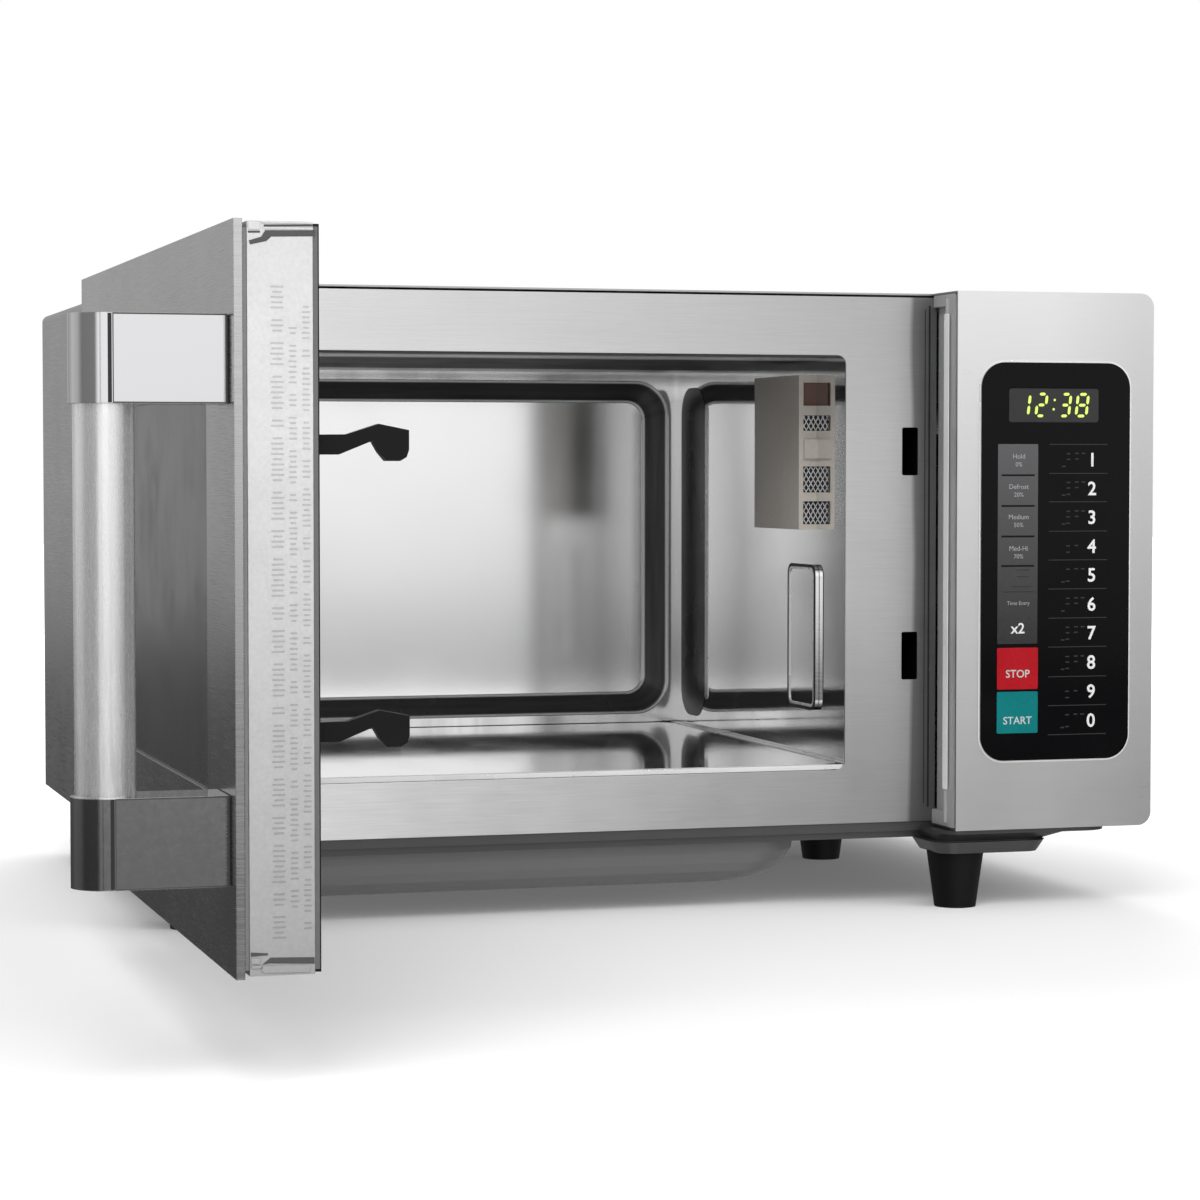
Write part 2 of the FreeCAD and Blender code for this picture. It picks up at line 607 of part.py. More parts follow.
def hinge_brackets():
    """Two arms fixed behind the front plate that reach forward and hold the hinge pins."""
    brackets, pins = [], []
    for name, low, leaf, pin in (
            ("upper", "upper_arm_bottom", ("280", "300"), ("upper_arm_bottom - 15",
                                                           "upper_arm_bottom + arm_thick")),
            ("lower", "lower_arm_bottom", ("50", "72"), ("lower_arm_bottom",
                                                         "lower_arm_bottom + 17.5"))):
        level = (low, f"{low} + arm_thick")
        nose = block(f"{name}_nose", ("pivot_x - 2.4", "pivot_x + 8"),
                     ("pivot_y - knuckle_radius", "plate_front - 0.3"), level)
        neck = block(f"{name}_neck", ("pivot_x + 1", "pivot_x + 8"),
                     ("plate_front - 0.3", "35"), level)
        back = block(f"{name}_leaf", ("pivot_x + 1", "pivot_x + 16"),
                     ("plate_front + sheet_metal", "35"), leaf)
        bore = rod(f"{name}_arm_bore", "pin_radius", f"{low} - 1", f"{low} + arm_thick + 1",
                   at=("pivot_x", "pivot_y"))
        brackets.append(less(f"{name}_bored_arm", join(f"{name}_arm", nose, neck, back), bore))
        pins.append(rod(f"{name}_pin", "pin_radius", *pin, at=("pivot_x", "pivot_y")))
    keep(group("hinge_brackets", *brackets))
    keep(group("hinge_pins", *pins))


def stirrer():
    """The bladed rotor in the floor well, on a shaft that drops into its motor."""
    body = new_body("stirrer_rotor")
    sketch = new_sketch(body, "XY_Plane", "52")
    draw_circle(sketch, "0", "0", "14")
    pad(body, sketch, "1.5")
    blade = new_sketch(body, "XY_Plane", "52")
    draw_rounded(blade, "8", "-11", "72", "11", "8")
    arm = pad(body, blade, "1.5")
    around = body.newObject("PartDesign::PolarPattern", "stirrer_blades")
    around.Originals = [arm]
    around.Axis = (blade, ["N_Axis"])
    around.Angle = 360
    around.Occurrences = 3
    body.Tip = around
    shaft = new_sketch(body, "XY_Plane", "30")
    draw_circle(shaft, "0", "0", "shaft_radius")
    pad(body, shaft, "28")
    keep(move_to(body, "stirrer_x", "stirrer_y"))
    drum = rod("motor_drum", "24", "17", "40.5", at=("stirrer_x", "stirrer_y"))
    bore = rod("motor_bore", "shaft_radius + running_gap", "29", "41",
               at=("stirrer_x", "stirrer_y"))
    keep(less("stirrer_motor", drum, bore))


def microwave_source():
    """The waveguide duct, and the magnetron with its yoke, fins, anode, antenna and filter box."""
    outer = join("duct_outer",
                 block("duct_upright", ("duct_left", "duct_right"), ("duct_front", "duct_back"),
                       ("44", "230")),
                 block("duct_flat", ("stirrer_x + well_half + 1.2", "duct_right"),
                       ("duct_front", "duct_back"), ("44", "68.5")))
    metal = ("duct_front + 1.5", "duct_back - 1.5")
    inner = join("duct_inner",
                 block("duct_upright_air", ("duct_left + 1.5", "duct_right - 1.5"), metal,
                       ("45.5", "228.5")),
                 block("duct_flat_air", ("stirrer_x + well_half", "duct_right - 1.5"), metal,
                       ("45.5", "67")))
    at = ("magnetron_y", "magnetron_z")
    port = rod("duct_port", "9", "duct_right - 5", "duct_right + 1", "x", at)
    keep(less("waveguide", outer, inner, port))
    yoke = block("yoke_outer", ("149", "212"), ("152", "238"), ("145", "225"))
    window = block("yoke_window", ("151", "210"), ("151", "239"), ("147", "223"))
    tube_hole = rod("yoke_tube_hole", "7", "148", "152", "x", at)
    filter_box = block("filter_box", ("212", "238"), ("160", "230"), ("155", "215"))
    keep(join("magnetron_yoke", less("yoke_frame", yoke, window, tube_hole), filter_box))
    keep(join("magnetron_tube", rod("anode", "18", "151", "210", "x", at),
              rod("antenna_dome", "7", "128", "151", "x", at)))
    fins = []
    for k in range(6):
        start = 158 + 8 * k
        plate = block(f"fin_{k}", (start, start + 0.8), ("155", "235"), ("149", "221"))
        hole = rod(f"fin_hole_{k}", "18", start - 1, start + 2, "x", at)
        fins.append(less(f"bored_fin_{k}", plate, hole))
    keep(group("magnetron_fins", *fins))


def power_supply():
    """The mains transformer, high-voltage capacitor with its clamp, the diode and filter board."""
    core = block("core_solid", ("core_left", "core_left + 86"), ("core_front", "core_front + 80"),
                 ("pan_floor", "pan_floor + 70"))
    windows = [block(f"core_window_{k}", (f"core_left + {start}", f"core_left + {start} + 14.5"),
                     ("core_front - 1", "core_front + 81"), ("pan_floor + 14", "pan_floor + 56"))
               for k, start in enumerate((14.5, 57))]
    keep(less("transformer_core", core, *windows))
    coil = block("coil_outer", ("core_left + 14.8", "core_left + 71.2"),
                 ("core_front - 14", "core_front + 94"), ("pan_floor + 14.3", "pan_floor + 55.7"))
    limb = block("coil_limb", ("core_left + 28.8", "core_left + 57.2"),
                 ("core_front - 0.3", "core_front + 80.3"), ("pan_floor + 13", "pan_floor + 57"))
    keep(less("transformer_windings", coil, limb))
    at = ("capacitor_x", "capacitor_y")
    keep(join("high_voltage_capacitor", rod("can", "capacitor_radius", "pan_floor", "128", at=at),
              rod("stud_a", "3", "128", "136", at=("capacitor_x - 8", "capacitor_y")),
              rod("stud_b", "3", "128", "136", at=("capacitor_x + 8", "capacitor_y"))))
    keep(join("high_voltage_diode",
              rod("diode_body", "3.5", "capacitor_x - 12", "capacitor_x + 12", "x",
                  ("capacitor_y", "143")),
              block("diode_leg_a", ("capacitor_x - 10", "capacitor_x - 6"),
                    ("capacitor_y - 0.5", "capacitor_y + 0.5"), ("136", "141")),
              block("diode_leg_b", ("capacitor_x + 6", "capacitor_x + 10"),
                    ("capacitor_y - 0.5", "capacitor_y + 0.5"), ("136", "141"))))
    strap = join("strap_outer", rod("strap_ring", "capacitor_radius + 1.5", "75", "90", at=at),
                 block("strap_ear", ("capacitor_x - 38", "capacitor_x"),
                       ("capacitor_y + 18", "capacitor_y + 20"), ("75", "90")))
    keep(less("capacitor_clamp", strap, rod("strap_bore", "capacitor_radius", "74", "91", at=at)))
    board = block("filter_base", ("152", "240"), ("60", "140"), ("275", "276.6"))
    choke = less("choke_ring", rod("choke_outer", "13", "276.6", "290", at=("175", "85")),
                 rod("choke_bore", "6", "276", "291", at=("175", "85")))
    fuse = rod("fuse_body", "3.4", "195", "227", "x", ("80", "279.8"))
    box_capacitor = block("filter_capacitor", ("200", "226"), ("105", "120"), ("276.6", "292"))
    keep(join("filter_board", board, box_capacitor, choke, fuse))


def cooling_fan():
    """A propeller fan behind the magnetron, its ring shroud, cross bar and motor."""
    at = ("fan_x", "fan_z")
    plate = block("shroud_plate", ("fan_x - 58", "fan_x + 58"), ("364", "366"),
                  ("fan_z - 58", "fan_z + 58"))
    ring = rod("shroud_ring", "fan_radius + 5.5", "366", "394", "y", at)
    bore = rod("shroud_bore", "fan_radius + 4", "360", "398", "y", at)
    bar = block("fan_cross_bar", ("fan_x - 58", "fan_x + 58"), ("360", "364"),
                ("fan_z - 6", "fan_z + 6"))
    bar_bore = rod("bar_bore", "5", "355", "368", "y", at)
    keep(join("fan_shroud", less("shroud_bored", join("shroud_shell", plate, ring), bore),
              less("bored_cross_bar", bar, bar_bore)))
    motor = block("fan_motor_block", ("fan_x - 22", "fan_x + 22"), ("328", "360"),
                  ("fan_z - 22", "fan_z + 22"))
    motor_bore = rod("fan_motor_bore", "shaft_radius + running_gap", "340", "361", "y", at)
    keep(less("fan_motor", motor, motor_bore))
    hub = rod("fan_hub", "13", "372", "388", "y", at)
    shaft = rod("fan_shaft", "shaft_radius", "345", "372", "y", at)
    blades = []
    count = 5
    for k in range(count):
        blade = Part.makeBox(2, 20, number("fan_radius") - 11, Vector(-1, -10, 11))
        blade.rotate(Vector(), Vector(0, 0, 1), 38)
        blade.rotate(Vector(), Vector(0, 1, 0), 360 * k / count)
        blade.translate(Vector(number("fan_x"), 380, number("fan_z")))
        blades.append(shape_node(f"fan_blade_{k}", blade))
    keep(join("fan_rotor", hub, shaft, *blades))


def casing_screws():
    """Pan-head screws that hold the rear panel."""
    screws = [rod(f"casing_screw_{x}_{z}", "4", "rear_panel_front + sheet_metal",
                  "rear_panel_front + 3.2", "y", (x, z))
              for x in ("-246", "0", "246") for z in ("46", "302")]
    keep(group("casing_screws", *screws))


# ================================================================ door
def hinge_clearances(name):
    """Room in a door piece for both hinge arms and knuckles over the whole swing."""
    tools = []
    for end, low, knuckle in (("upper", "upper_arm_bottom", ("277.7", "295")),
                              ("lower", "lower_arm_bottom", ("56.5", "74.3"))):
        tools.append(rod(f"{name}_{end}_notch", "hinge_notch_radius", f"{low} - 0.3",
                         f"{low} + arm_thick + 0.3", at=("pivot_x", "pivot_y")))
        tools.append(block(f"{name}_{end}_seat", ("pivot_x - 5", "pivot_x + 11.2"),
                           ("pivot_y - 3.1", "door_thick + 1"), knuckle))
    return tools


def hook_slots(name, front, back):
    """Slots that let the two latch hooks through and lift."""
    return [block(f"{name}_slot_{low}", ("hook_left - 1", "hook_right + 1"), (front, back),
                  (low, high)) for low, high in (("224", "243"), ("120.4", "140"))]


def door_shell():
    """Outer steel skin, window glass, choke cover, inner frame, choke frame, screen and film."""
    tray = block("skin_outer", ("door_left", "door_right"), ("0", "skin_depth"),
                 ("panel_bottom", "body_height"))
    inside = block("skin_inside", ("door_left + sheet_metal", "door_right - sheet_metal"),
                   ("sheet_metal", "skin_depth + 1"),
                   ("panel_bottom + sheet_metal", "body_height - sheet_metal"))
    window = plate_with_holes("skin_window", "XZ_Plane", "-1", "4",
                              ("window_left", "window_bottom", "window_right", "window_top", "3"),
                              [])
    bores = [rod(f"skin_bore_{z}", "2", "-1", "skin_depth", "y", ("handle_x", z))
             for z in HANDLE_SCREW_LEVELS]
    keep(less("door_outer_skin", tray, inside, window, *bores), on_door=True)
    keep(plate_with_holes("door_window_glass", "XZ_Plane", "sheet_metal", "4",
                          ("window_left - 6", "window_bottom - 6", "window_right + 6",
                           "window_top + 6", "6"), []), on_door=True)

    cover = block("cover_ring_outer", ("door_left + 1", "door_right - 0.8"), ("5", "28.6"),
                  ("panel_bottom + 1", "body_height - 0.8"))
    cover_air = block("cover_ring_air", ("door_left + 3", "door_right - 2.8"), ("4", "26.6"),
                      ("panel_bottom + 3", "body_height - 2.8"))
    cover_view = block("cover_ring_view", ("-206", "98"), ("20", "30"), ("93", "260"))
    keep(less("door_choke_cover", cover, cover_air, cover_view, *hinge_clearances("cover"),
              *hook_slots("cover", "26", "29")), on_door=True)

    frame = block("inner_frame_outer", ("door_left + 2.6", "door_right - 1.4"),
                  ("28.6", "door_thick"), ("panel_bottom + 1.6", "body_height - 1.4"))
    frame_view = block("inner_frame_view", ("-206", "98"), ("20", "40"), ("93", "260"))
    keep(less("door_inner_frame", frame, frame_view, *hinge_clearances("frame"),
              *hook_slots("frame", "28", "32")), on_door=True)

    web = block("choke_web", ("-242", "127"), ("15", "16"), ("46", "306"))
    rim = less("choke_rim", block("choke_rim_out", ("-242", "127"), ("6", "25.6"), ("46", "306")),
               block("choke_rim_in", ("-241", "126"), ("5", "27"), ("47", "305")))
    lip = less("choke_lip", block("choke_lip_out", ("-202", "94"), ("15", "24.4"), ("95", "259")),
               block("choke_lip_in", ("-201", "93"), ("14", "27"), ("96", "258")))
    view = block("choke_view", ("-201", "93"), ("5", "40"), ("96", "258"))
    keep(join("door_choke_frame", less("choke_web_ring", web, view), rim, lip), on_door=True)
    keep(block("door_screen", ("-212", "104"), ("14", "14.8"), ("86", "268")), on_door=True)
    keep(block("door_inner_film", ("-212", "104"), ("24.6", "26.4"), ("87", "266")), on_door=True)


HANDLE_SCREW_LEVELS = ("82", "97", "254.5", "269.5")


def handle():
    """Two stadium-shaped brackets, a round grip bar between them and their screws."""
    for name, low, high in (("upper", "upper_bracket_bottom", "upper_bracket_top"),
                            ("lower", "lower_bracket_bottom", "lower_bracket_top")):
        side = ("handle_x - bracket_radius", "handle_x + bracket_radius")
        arm = block(f"{name}_bracket_arm", side, ("-handle_reach", "-0.6"), (low, high))
        nose = rod(f"{name}_bracket_nose", "bracket_radius", low, high,
                   at=("handle_x", "-handle_reach"))
        foot = block(f"{name}_bracket_foot",
                     ("handle_x - bracket_radius + 1", "handle_x + bracket_radius - 1"),
                     ("-0.6", "0"), (f"{low} + 1", f"{high} - 1"))
        socket = rod(f"{name}_grip_socket", "grip_radius", "99.8", "251.7",
                     at=("handle_x", "-handle_reach"))
        bores = [rod(f"{name}_bore_{z}", "2", "-20", "1", "y", ("handle_x", z))
                 for z in HANDLE_SCREW_LEVELS]
        keep(less(f"handle_bracket_{name}", join(f"{name}_bracket", arm, nose, foot), socket,
                  *bores), on_door=True)
    tube = rod("grip_outer", "grip_radius", "99.8", "251.7", at=("handle_x", "-handle_reach"))
    air = rod("grip_air", "grip_radius - 1.5", "98", "253", at=("handle_x", "-handle_reach"))
    keep(less("handle_bar", tube, air), on_door=True)
    screws = []
    for z in HANDLE_SCREW_LEVELS:
        screws.append(join(f"handle_screw_{z}",
                           rod(f"shank_{z}", "2", "-20", "sheet_metal", "y", ("handle_x", z)),
                           rod(f"head_{z}", "4", "sheet_metal", "3.6", "y", ("handle_x", z))))
    keep(group("handle_screws", *screws), on_door=True)


def door_hinges():
    """A knuckle block at each end of the door, bored for the pin with a running fit."""
    blocks = []
    for name, low, high in (("upper", "278", "upper_arm_bottom - 0.5"),
                            ("lower", "lower_arm_bottom + arm_thick + 0.5", "74")):
        barrel = rod(f"{name}_barrel", "knuckle_radius", low, high, at=("pivot_x", "pivot_y"))
        leaf = block(f"{name}_knuckle_leaf", ("pivot_x", "pivot_x + 11"),
                     ("pivot_y - knuckle_radius", "door_thick"), (low, high))
        bore = rod(f"{name}_knuckle_bore", "pin_radius + running_gap", f"{low} - 1",
                   f"{high} + 1", at=("pivot_x", "pivot_y"))
        blocks.append(less(f"{name}_knuckle", join(f"{name}_knuckle_solid", barrel, leaf), bore))
    keep(group("door_hinge_knuckles", *blocks), on_door=True)


def latch():
    """The sprung lever with two hooks, its guides in the door and its return spring."""
    body = new_body("latch_lever")
    sketch = new_sketch(body, "YZ_Plane", "hook_left")
    hook = [("21", 227.7), ("39.6", 227.7), ("52", 232.7), ("54.5", 228.4), ("57.1", 225.4),
            ("62.2", 225.4), ("64.6", 226.8), ("hook_tip", 229.4), ("hook_tip", 236.6),
            ("54.5", 238.8), ("42.7", 235), ("21", 234.8)]
    outline = [("9", "lever_bottom"), ("21", "lever_bottom"),
               *((depth, f"{level} - hook_spacing") for depth, level in hook), *hook,
               ("21", "lever_top"), ("9", "lever_top")]
    draw_polygon(sketch, outline)
    pad(body, sketch, "hook_right - hook_left")
    keep(body, on_door=True)
    guides = []
    for low in ("150", "200"):
        outer = block(f"guide_{low}", ("128.2", "142.6"), ("6.5", "24"), (low, f"{low} + 10"))
        way = block(f"guide_way_{low}", ("hook_left - 0.3", "hook_right + 0.3"), ("8.7", "21.3"),
                    (f"{low} - 1", f"{low} + 11"))
        guides.append(less(f"bored_guide_{low}", outer, way))
    guides.append(block("spring_stop", ("128.2", "142.6"), ("6.5", "24"),
                        ("spring_top", "spring_top + 3")))
    keep(group("latch_guides", *guides), on_door=True)
    turns, wire, coil = 6, 0.5, 4
    length = number("spring_top - lever_top") - 2 * wire - 0.2
    helix = Part.makeHelix(length / turns, length, coil)
    profile = Part.Wire(Part.makeCircle(wire, Vector(coil, 0, 0), Vector(0, 1, 0)))
    spring = Part.Wire(helix).makePipeShell([profile], True, True)
    spring.translate(Vector(number("(hook_left + hook_right) / 2"), 15,
                            number("lever_top") + wire + 0.1))
    keep(shape_node("latch_spring", spring), on_door=True)


# ================================================================ build, check and write
casing()
rear_panel()
base()
front_plate()
cavity()
lamp_cover()
control_panel()
latch_bracket()
hinge_brackets()
stirrer()
microwave_source()
power_supply()
cooling_fan()
casing_screws()
door_shell()
handle()
door_hinges()
latch()
doc.recompute()

failed = [item.Name for item in doc.Objects
          if "Invalid" in item.State or "Error" in item.State]
failed += [item.Label for item in NODES if item.Shape.isNull() or not item.Shape.isValid()]
if failed:
    raise SystemExit(f"these objects failed: {failed}")
os.makedirs("parts", exist_ok=True)
for item in NODES:
    item.Shape.exportStep(f"parts/{item.Label}.step")
print(f"{len(NODES)} sub-parts written")
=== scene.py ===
import json
import math
import bpy
import bmesh
from mathutils import Matrix, Vector


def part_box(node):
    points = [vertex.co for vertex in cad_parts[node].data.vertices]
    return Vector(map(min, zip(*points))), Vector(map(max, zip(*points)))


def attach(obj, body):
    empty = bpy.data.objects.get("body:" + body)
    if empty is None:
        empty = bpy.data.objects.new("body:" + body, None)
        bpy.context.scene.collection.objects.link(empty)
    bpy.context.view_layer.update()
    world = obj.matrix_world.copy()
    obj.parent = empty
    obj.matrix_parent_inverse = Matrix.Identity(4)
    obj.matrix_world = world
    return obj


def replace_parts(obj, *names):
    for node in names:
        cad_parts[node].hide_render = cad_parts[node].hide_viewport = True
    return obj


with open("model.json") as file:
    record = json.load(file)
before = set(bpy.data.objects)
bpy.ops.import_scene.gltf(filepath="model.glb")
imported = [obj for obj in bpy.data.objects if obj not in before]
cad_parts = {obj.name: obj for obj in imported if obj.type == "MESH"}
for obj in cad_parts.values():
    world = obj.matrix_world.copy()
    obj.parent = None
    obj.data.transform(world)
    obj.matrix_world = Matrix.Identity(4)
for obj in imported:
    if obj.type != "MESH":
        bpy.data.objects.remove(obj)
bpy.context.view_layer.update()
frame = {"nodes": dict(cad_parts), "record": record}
MM = 0.001

# ---------------------------------------------------------------- camera
CAMERA_AT = (-0.4476, -1.5401, 0.2233)
CAMERA_PITCH, CAMERA_YAW = 87.68, -16.505       # degrees
CAMERA_LENS, CAMERA_SENSOR = 98.6, 36           # mm
CAMERA_CLIP = 0.02
camera = bpy.data.objects.new("camera", bpy.data.cameras.new("camera"))
bpy.context.scene.collection.objects.link(camera)
camera.location = CAMERA_AT
camera.rotation_euler = (math.radians(CAMERA_PITCH), 0, math.radians(CAMERA_YAW))
camera.data.lens = CAMERA_LENS
camera.data.sensor_width = CAMERA_SENSOR
camera.data.clip_start = CAMERA_CLIP
bpy.context.scene.camera = camera
bpy.context.scene.view_settings.view_transform = "Standard"


# ---------------------------------------------------------------- node helpers
EDGE_GAIN = 8.0                      # how sharply wear gathers at an edge
METAL_EDGE, PLASTIC_EDGE = 1.25, 1.5     # how much paler a worn edge is
FINE_BUMP = 0.0002                   # height of grain and speckle, in metres


def math_node(tree, kind, *values):
    """One math node; each value is a number or another node's output."""
    node = tree.nodes.new("ShaderNodeMath")
    node.operation = kind
    for socket, value in zip(node.inputs, values):
        if isinstance(value, (int, float)):
            socket.default_value = value
        else:
            tree.links.new(value, socket)
    return node.outputs[0]


class Nodes:
    """Builds one material's node tree."""

    def __init__(self, name):
        self.material = bpy.data.materials.new(name)
        self.material.use_nodes = True
        self.tree = self.material.node_tree
        self.tree.nodes.clear()
        self.out = self.add("ShaderNodeOutputMaterial")
        self.shader = self.add("ShaderNodeBsdfPrincipled")
        self.link(self.shader.outputs[0], self.out.inputs["Surface"])
        self.place = self.add("ShaderNodeTexCoord").outputs["Object"]

    def add(self, kind):
        return self.tree.nodes.new(kind)

    def link(self, a, b):
        self.tree.links.new(a, b)

    def noise(self, scale, detail, rough=0.5):
        """Noise with so many waves to the metre, the same along every axis or one number for each."""
        node = self.add("ShaderNodeTexNoise")
        node.inputs["Scale"].default_value = 1
        node.inputs["Detail"].default_value = detail
        node.inputs["Roughness"].default_value = rough
        mapping = self.add("ShaderNodeMapping")
        self.link(self.place, mapping.inputs["Vector"])
        mapping.inputs["Scale"].default_value = (scale,) * 3 if isinstance(scale, (int, float)) else scale
        self.link(mapping.outputs[0], node.inputs["Vector"])
        return node.outputs["Fac"]

    def spread(self, value, low, high, start=0.3, end=0.7):
        """Maps the range from start to end onto the range from low to high."""
        node = self.add("ShaderNodeMapRange")
        self.link(value, node.inputs["Value"])
        for socket, number in zip(("From Min", "From Max", "To Min", "To Max"), (start, end, low, high)):
            node.inputs[socket].default_value = number
        return node.outputs[0]

    def math(self, kind, *values):
        return math_node(self.tree, kind, *values)

    def mix(self, fac, a, b):
        node = self.add("ShaderNodeMix")
        node.data_type = "RGBA"
        for socket, value in ((node.inputs[0], fac), (node.inputs[6], a), (node.inputs[7], b)):
            if isinstance(value, (int, float, tuple)):
                socket.default_value = value if isinstance(value, (int, float)) else (*value, 1)
            else:
                self.link(value, socket)
        return node.outputs[2]

    def along(self, axis):
        """One object coordinate, in metres."""
        node = self.add("ShaderNodeSeparateXYZ")
        self.link(self.place, node.inputs[0])
        return node.outputs[axis]

    def between(self, value, start, end, soft):
        """1 from start to end, with soft ends."""
        rise = self.spread(value, 0, 1, start - soft, start + soft)
        return self.math("MULTIPLY", rise, self.spread(value, 1, 0, end - soft, end + soft))

    def dimmed(self, colour, factor):
        node = self.add("ShaderNodeVectorMath")
        node.operation = "SCALE"
        self.link(colour, node.inputs[0])
        self.link(factor, node.inputs["Scale"])
        return node.outputs[0]

    def bump(self, height, strength, depth, normal=None):
        node = self.add("ShaderNodeBump")
        node.inputs["Strength"].default_value = strength
        node.inputs["Distance"].default_value = depth
        self.link(height, node.inputs["Height"])
        if normal is not None:
            self.link(normal, node.inputs["Normal"])
        return node.outputs[0]

    def rounded(self, radius):
        node = self.add("ShaderNodeBevel")
        node.samples = 4
        node.inputs["Radius"].default_value = radius
        return node.outputs[0]

    def edges(self, normal):
        """1 at an edge and 0 on a flat."""
        geometry = self.add("ShaderNodeNewGeometry")
        dot = self.add("ShaderNodeVectorMath")
        dot.operation = "DOT_PRODUCT"
        self.link(normal, dot.inputs[0])
        self.link(geometry.outputs["Normal"], dot.inputs[1])
        node = self.math("MULTIPLY", self.math("SUBTRACT", 1.0, dot.outputs["Value"]), EDGE_GAIN)
        clamp = self.add("ShaderNodeClamp")
        self.link(node, clamp.inputs[0])
        return clamp.outputs[0]


def metal(name, colour, rough, grain, vary=0.06, rough_vary=0.06, relief=0.05, cloud=18.0, edge=0.0004,
          metallic=1.0, coat=0.0, shade=None):
    """Metal with fine grain, soft clouding and worn edges; shade(n) gives a factor for the colour."""
    n = Nodes(name)
    s = n.shader
    s.inputs["Metallic"].default_value = metallic
    s.inputs["Coat Weight"].default_value = coat
    fine = n.noise(grain, 3, 0.6)
    cloudy = n.noise(cloud, 3, 0.55)
    light = n.spread(fine, 1 - vary, 1 + vary, 0.25, 0.75)
    light = n.math("MULTIPLY", light, n.spread(cloudy, 1 - vary * 0.6, 1 + vary * 0.6))
    normal = n.rounded(edge) if edge else None
    dark = tuple(c * 0.7 for c in colour)
    bright = tuple(min(1, c * METAL_EDGE) for c in colour)
    base = n.mix(n.math("SUBTRACT", light, 0.5), dark, tuple(min(1, c * 1.3) for c in colour))
    if edge:
        worn = n.math("MULTIPLY", n.edges(normal), n.spread(n.noise(160, 2), 0.25, 1, 0.35, 0.65))
        base = n.mix(worn, base, bright)
    n.link(n.dimmed(base, shade(n)) if shade else base, s.inputs["Base Color"])
    n.link(n.math("ADD", n.spread(fine, rough - rough_vary, rough + rough_vary),
                  n.spread(cloudy, -rough_vary * 0.5, rough_vary * 0.5)), s.inputs["Roughness"])
    n.link(n.bump(fine, relief, FINE_BUMP, normal), s.inputs["Normal"])
    return n.material


def plastic(name, colour, rough, vary=0.10, relief=0.08, edge=0.0005, shine=0.5, shade=None):
    """Moulded or rubbed plastic: fine texture, uneven gloss, paler worn edges."""
    n = Nodes(name)
    s = n.shader
    s.inputs["Specular IOR Level"].default_value = shine
    fine = n.noise(700, 3, 0.6)
    cloudy = n.noise(22, 3, 0.6)
    low = tuple(c * (1 - vary) for c in colour)
    high = tuple(min(1, c * (1 + vary)) for c in colour)
    both = n.math("MULTIPLY_ADD", fine, 0.5, n.math("MULTIPLY", cloudy, 0.5))
    base = n.mix(n.spread(both, 0, 1), low, high)
    normal = n.rounded(edge) if edge else None
    if edge:
        worn = n.math("MULTIPLY", n.edges(normal), n.spread(n.noise(240, 2), 0, 0.8, 0.4, 0.65))
        base = n.mix(worn, base, tuple(min(1, c * PLASTIC_EDGE + 0.01) for c in colour))
    n.link(n.dimmed(base, shade(n)) if shade else base, s.inputs["Base Color"])
    n.link(n.spread(cloudy, rough - 0.08, rough + 0.08), s.inputs["Roughness"])
    n.link(n.bump(fine, relief, FINE_BUMP, normal), s.inputs["Normal"])
    return n.material


# ---------------------------------------------------------------- materials
FLAT_GRAIN = (45, 45, 2600)          # strokes along X and Y, fine in Z


def plate_shade(n):
    """Painted shade on the plate: a dark band beside the panel is a painted reflection of the panel's side,
    and the plate is painted brighter to the left, more so low down, darker low on the right and a little
    darker near the top.
    """
    sideways = n.math("MULTIPLY_ADD", n.noise((9, 9, 9), 2), 0.006, n.along("X"))
    left = n.spread(sideways, 1.26, 0.74, -0.20, 0.15)
    low = n.math("MULTIPLY", n.spread(n.along("Z"), 1, 0, 0.05, 0.16),
                 n.spread(sideways, 0.10, -0.30, -0.16, 0.12))
    high = n.spread(n.along("Z"), 1, 0.88, 0.24, 0.29)
    upright = n.math("MULTIPLY", n.math("ADD", 1.0, low), high)
    # the factor past X 0.18 is the dark band beside the panel, a painted reflection of the panel's side
    return n.math("MULTIPLY", n.math("MULTIPLY", left, upright), n.spread(sideways, 1, 0.42, 0.180, 0.1825))


def fascia_shade(n):
    """Painted shade on the panel: its folded side is painted dark as a painted shadow, and its face is painted
    darker lower down and towards the right.
    """
    painted_face_shade = n.math("MULTIPLY", n.spread(n.along("Z"), 0.68, 1.08, 0.06, 0.31),
                       n.spread(n.along("X"), 1, 0.86, 0.24, 0.29))
    # behind Y -0.016, on the folded side, the colour is cut to a third: a painted shadow
    return n.math("MULTIPLY", n.spread(n.along("Y"), 1, 0.34, -0.0168, -0.0160), painted_face_shade)


def fading(top, bottom, least):
    """Painted shade, darker towards the bottom: full at one height, least at the other."""
    return lambda n: n.spread(n.along("Z"), least, 1, bottom, top)


steel_front = metal("brushed_plate", (0.76, 0.76, 0.765), 0.36, FLAT_GRAIN, relief=0.14, vary=0.11,
                    metallic=0.86, shade=plate_shade)
steel_fascia = metal("brushed_fascia", (0.87, 0.865, 0.87), 0.36, FLAT_GRAIN, relief=0.08, vary=0.05,
                     metallic=0.88, edge=0.00012, shade=fascia_shade)
steel_casing = metal("casing_satin", (0.49, 0.49, 0.495), 0.30, FLAT_GRAIN, relief=0.06, vary=0.05)
steel_pan = metal("pan_satin", (0.09, 0.09, 0.09), 0.38, (60, 60, 900), relief=0.06, metallic=0.7)
steel_belly = metal("belly_satin", (0.15, 0.15, 0.15), 0.42, (60, 60, 300), relief=0.03, metallic=0.35)
steel_housing = metal("housing_satin", (0.50, 0.50, 0.50), 0.34, (900, 900, 60), relief=0.03, metallic=0.3,
                      edge=0)
steel_cavity = metal("cavity_mirror", (0.93, 0.93, 0.935), 0.06, (30, 30, 1500), relief=0.012,
                     rough_vary=0.02, vary=0.02, edge=0)
steel_floor = metal("cavity_floor_mirror", (0.60, 0.60, 0.605), 0.08, (30, 12, 30), relief=0.001, vary=0.03,
                    rough_vary=0.02)
